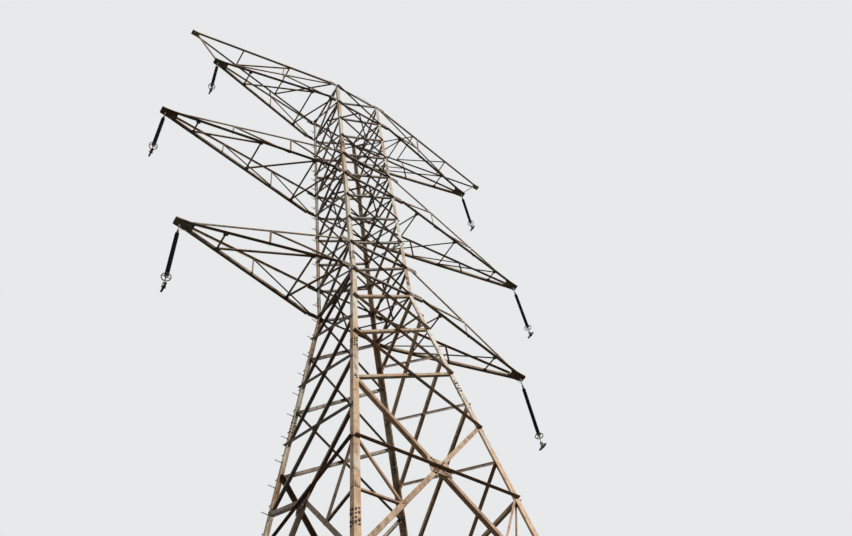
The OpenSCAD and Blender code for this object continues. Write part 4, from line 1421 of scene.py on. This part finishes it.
rings = Joints()
for z in (0.0, MIDDLE_LEVEL, TOP_LEVEL, base_belt):
    rise, grip = (-LIGHT_BAR / 2, THIN_T) if z == base_belt else (CAGE_BAR / 2, 2 * THIN_T)
    for quarter in range(4):
        for x in (-RING_BOLT_STEP, RING_BOLT_STEP):
            spot = below(x, RING_BOLT_IN - half_at(z), WAIST_H + z + rise)
            rings.bolt(spun(QUARTER * quarter) @ spot, grip, SMALL)
rings.piece("level_ring_bolts")

# %% [markdown]
# ## Footings
#
# Each leg stands on a block cast in a form of boards: an upright rim in the
# ground and a sloping top that sheds water. The block is a cube whose top is
# drawn up and in. Its edges are worn round, and small random moves take the
# ruler-straight look off its faces. Such moves go by the vertices' order,
# which Blender may change from run to run, so the vertices are first sorted
# by their distance from a point. The base plate lies on a bed of mortar and
# is held by four anchor bolts.

# %% One footing
BLOCK_HALF = 0.45
BLOCK_TOP_HALF = 0.31
RIM_H = 0.15
UNEVEN = 0.0035
WORN_EDGE = 0.011
# No two vertices of the block lie equally far from this point
SORTED_FROM = (0.37, 1.0, 0.11)
BED_HALF = 0.23
ANCHOR_AT = 0.14
ANCHOR_SIZE = 1.5

block = slab("footing", (-BLOCK_HALF, -BLOCK_HALF, 0), (BLOCK_HALF, BLOCK_HALF, RIM_H))
edit()
pick(block, "FACE", lambda f: f.normal.z > 0.9)
extrude(0, 0, FOOTING_H - RIM_H)
taper = BLOCK_TOP_HALF / BLOCK_HALF
bpy.ops.transform.resize(value=(taper, taper, 1), center_override=(0, 0, FOOTING_H))
bpy.ops.mesh.select_all(action="SELECT")
bpy.ops.mesh.subdivide(number_cuts=3)
pick(block, "VERT", lambda v: 0.01 < v.co.z < FOOTING_H - 0.01)
scene.cursor.location = SORTED_FROM
bpy.ops.mesh.sort_elements(type="CURSOR_DISTANCE", elements={"VERT"})
scene.cursor.location = (0, 0, 0)
bpy.ops.transform.vertex_random(offset=UNEVEN, seed=5)
done()
modified(block, "BEVEL", width=WORN_EDGE, segments=2, limit_method="ANGLE",
         angle_limit=math.radians(20))
bed = slab("mortar_bed", (-BED_HALF, -BED_HALF, FOOTING_H - 0.004),
           (BED_HALF, BED_HALF, FOOTING_H + 0.008))
modified(bed, "BEVEL", width=0.006, segments=2)
footing = joined("footing", [smooth(block, 30), bed])
print("footing", len(footing.data.polygons), "faces")

# %% Four footings and their anchor bolts
low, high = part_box("footings")
corners = [(x, y) for x in (low.x + BLOCK_HALF, high.x - BLOCK_HALF)
           for y in (low.y + BLOCK_HALF, high.y - BLOCK_HALF)]
places = [moved(x, y) @ spun(QUARTER * quarter)
          for (x, y), quarter in zip(corners, (0, 3, 1, 2))]
blocks = copies(footing, "footing_blocks", places)
carried(blocks, concrete)
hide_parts("footings")
discard(footing)

places = []
for x, y in corners:
    for sx in (-1, 1):
        for sy in (-1, 1):
            at = moved(x + sx * ANCHOR_AT, y + sy * ANCHOR_AT, FOOTING_H + BASE_PLATE_T)
            places.append(at @ spun(chance.uniform(0, 1)) @ Matrix.Scale(ANCHOR_SIZE, 4))
carried(copies(bolt_nut, "anchor_nuts", places), bolt_steel)
print("footings at", [(round(x, 3), round(y, 3)) for x, y in corners])

# %% [markdown]
# ## Plates
#
# Small plates at the top of the front face are there for those who fly over
# the line or walk beneath it, and a larger one stands on the back face. They
# are left bare here. Each is sheet steel with rounded corners and a turned
# edge, so the corners are bevelled first and the face is then inset and
# pushed in.

# %% Number plates and the back plate
PLATE_W = 0.12
PLATE_T = 0.003
PLATE_GAP = 0.014
PLATE_COUNT = 5
DISH = 0.0012
RAIL_H = 0.04
SIGN_BOLT = 0.35
BACK_SIGN_BOLT = 0.45


def sign_plate(name, low, high):
    """A plate with rounded corners and a shallow dished face."""
    piece = rounded(slab(name, low, high), along(1), 0.014, 3)
    edit()
    pick(piece, "FACE", lambda f: f.normal.y < -0.9)
    bpy.ops.mesh.inset(thickness=0.006, depth=0)
    bpy.ops.mesh.inset(thickness=0.0015, depth=-DISH)
    done()
    return piece


low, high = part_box("number_plates")
mid_z = (low.z + high.z) / 2
signs = []
sign_bolts = []
for i in range(PLATE_COUNT):
    x = low.x + i * (PLATE_W + PLATE_GAP)
    signs.append(sign_plate("sign", (x, low.y, low.z), (x + PLATE_W, low.y + PLATE_T, high.z)))
    for dz in (-0.012, 0.012):
        at = moved(x + PLATE_W / 2, low.y + DISH, mid_z + dz)
        sign_bolts.append(at @ spun(QUARTER, "X") @ Matrix.Scale(SIGN_BOLT, 4))
rail = slab("rail", (low.x, low.y + PLATE_T, mid_z - RAIL_H / 2),
            (high.x, high.y, mid_z + RAIL_H / 2))
modified(rail, "BEVEL", width=0.001, segments=1)
signs = joined("number_signs", signs)

low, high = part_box("back_plate")
back_sign = sign_plate("back_sign", low, high)
centre = moved((low.x + high.x) / 2, (low.y + high.y) / 2)
back_sign.data.transform(centre @ spun(math.pi) @ centre.inverted())
for x in (low.x + 0.08, high.x - 0.08):
    at = moved(x, high.y - DISH, mid_z)
    sign_bolts.append(at @ spun(-QUARTER, "X") @ Matrix.Scale(BACK_SIGN_BOLT, 4))
fixings = copies(bolt_head, "sign_bolts", sign_bolts)

carried(signs, pale_enamel)
carried(rail, bar_steel)
carried(fixings, bolt_steel)
carried(back_sign, yellow_enamel)
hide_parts("number_plates")
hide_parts("number_plates")
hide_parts("back_plate")
print("signs", PLATE_COUNT + 1)

# %% [markdown]
# ## The camera
#
# The photographer stood near the front left foot with the camera at eye
# height and looked up through the tower. The viewing angle was solved from
# the joints of the lattice: heading from the line of the conductors, angle
# above the horizon, and roll.

# %% Camera
EYE = Vector((-8.327, -11.591, 1.673))
HEADING = math.radians(43.712)
PITCH = math.radians(56.8)
ROLL = math.radians(-12.509)
SENSOR_MM = 36.0
LENS_MM = 35.741
FAR_CLIP = 2000

camera = bpy.data.objects.new("camera", bpy.data.cameras.new("camera"))
scene.collection.objects.link(camera)
camera.matrix_world = (moved(*EYE) @ spun(-HEADING) @ spun(QUARTER + PITCH, "X")
                       @ spun(ROLL))
camera.data.sensor_width = SENSOR_MM
camera.data.lens = LENS_MM
camera.data.clip_end = FAR_CLIP
scene.camera = camera
print("camera at", [round(v, 2) for v in EYE])

# %% [markdown]
# ## Floor, backdrop and light
#
# The tower stands on a plain pale floor under a soft key light from the front
# right. A weaker lamp fills the back and the weakest one the left, so that no
# side is lost in the dark. The world is pale where the camera or a reflection
# sees it, but it lights the steel only gently, so that the undersides stay in
# shade. The floor too is pale for the camera alone and throws little back.

# %% Floor and backdrop
PALE = "#e8e9ea"
AMBIENT = 0.06
FLOOR_R = 900

clear()
bpy.ops.mesh.primitive_circle_add(vertices=96, radius=FLOOR_R, location=(0, 0, 0),
                                  fill_type="NGON")
floor = named("floor")
floor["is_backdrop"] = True

floor_paint, tree, shader = blank("pale_floor")
rays = add(tree, "LightPath", {})
seen = add(tree, "Mix", {FACTOR: rays.outputs["Is Camera Ray"], FIRST: linear("#2b2b2a"),
                         SECOND: linear("#f2f2f1")}, data_type="RGBA")
fill(tree, shader, {"Base Color": seen.outputs[MIXED], "Roughness": 0.95})
floor.data.materials.append(floor_paint)

world = bpy.data.worlds.new("pale_world")
scene.world = world
world.use_nodes = True
tree = world.node_tree
soft = fill(tree, tree.nodes["Background"], {"Color": linear("#f4f6f8"),
                                             "Strength": AMBIENT})
backdrop = add(tree, "Background", {"Color": linear(PALE), "Strength": 1.0})
rays = add(tree, "LightPath", {})
direct = add(tree, "Math", {0: rays.outputs["Is Camera Ray"],
                            1: rays.outputs["Is Glossy Ray"]}, operation="MAXIMUM")
either = add(tree, "Math", {0: direct.outputs[0],
                            1: rays.outputs["Is Transmission Ray"]}, operation="MAXIMUM")
shown = add(tree, "MixShader", {0: either.outputs[0], 1: soft.outputs[0],
                                2: backdrop.outputs[0]})
fill(tree, tree.nodes["World Output"], {"Surface": shown.outputs[0]})
print("floor of", FLOOR_R, "m, world at", AMBIENT)

# %% Lamps


def sun(name, toward, strength, softness):
    """A distant lamp that shines from the given direction."""
    lamp = bpy.data.objects.new(name, bpy.data.lights.new(name, "SUN"))
    scene.collection.objects.link(lamp)
    lamp.data.energy = strength
    lamp.data.angle = math.radians(softness)
    lamp.rotation_mode = "QUATERNION"
    lamp.rotation_quaternion = Vector(toward).to_track_quat("Z", "Y")


sun("key", (0.58, -0.62, 0.50), 3.7, 4)
sun("fill", (0.55, 0.70, 0.45), 1.1, 12)
sun("edge", (-0.85, 0.45, 0.30), 0.5, 20)

scene.view_settings.view_transform = "Standard"
print("lamps", len(bpy.data.lights))

# %% Finish
discard(bolt_head, bolt_nut)
low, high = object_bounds()
print("visual box", [round(v, 3) for v in low], [round(v, 3) for v in high])
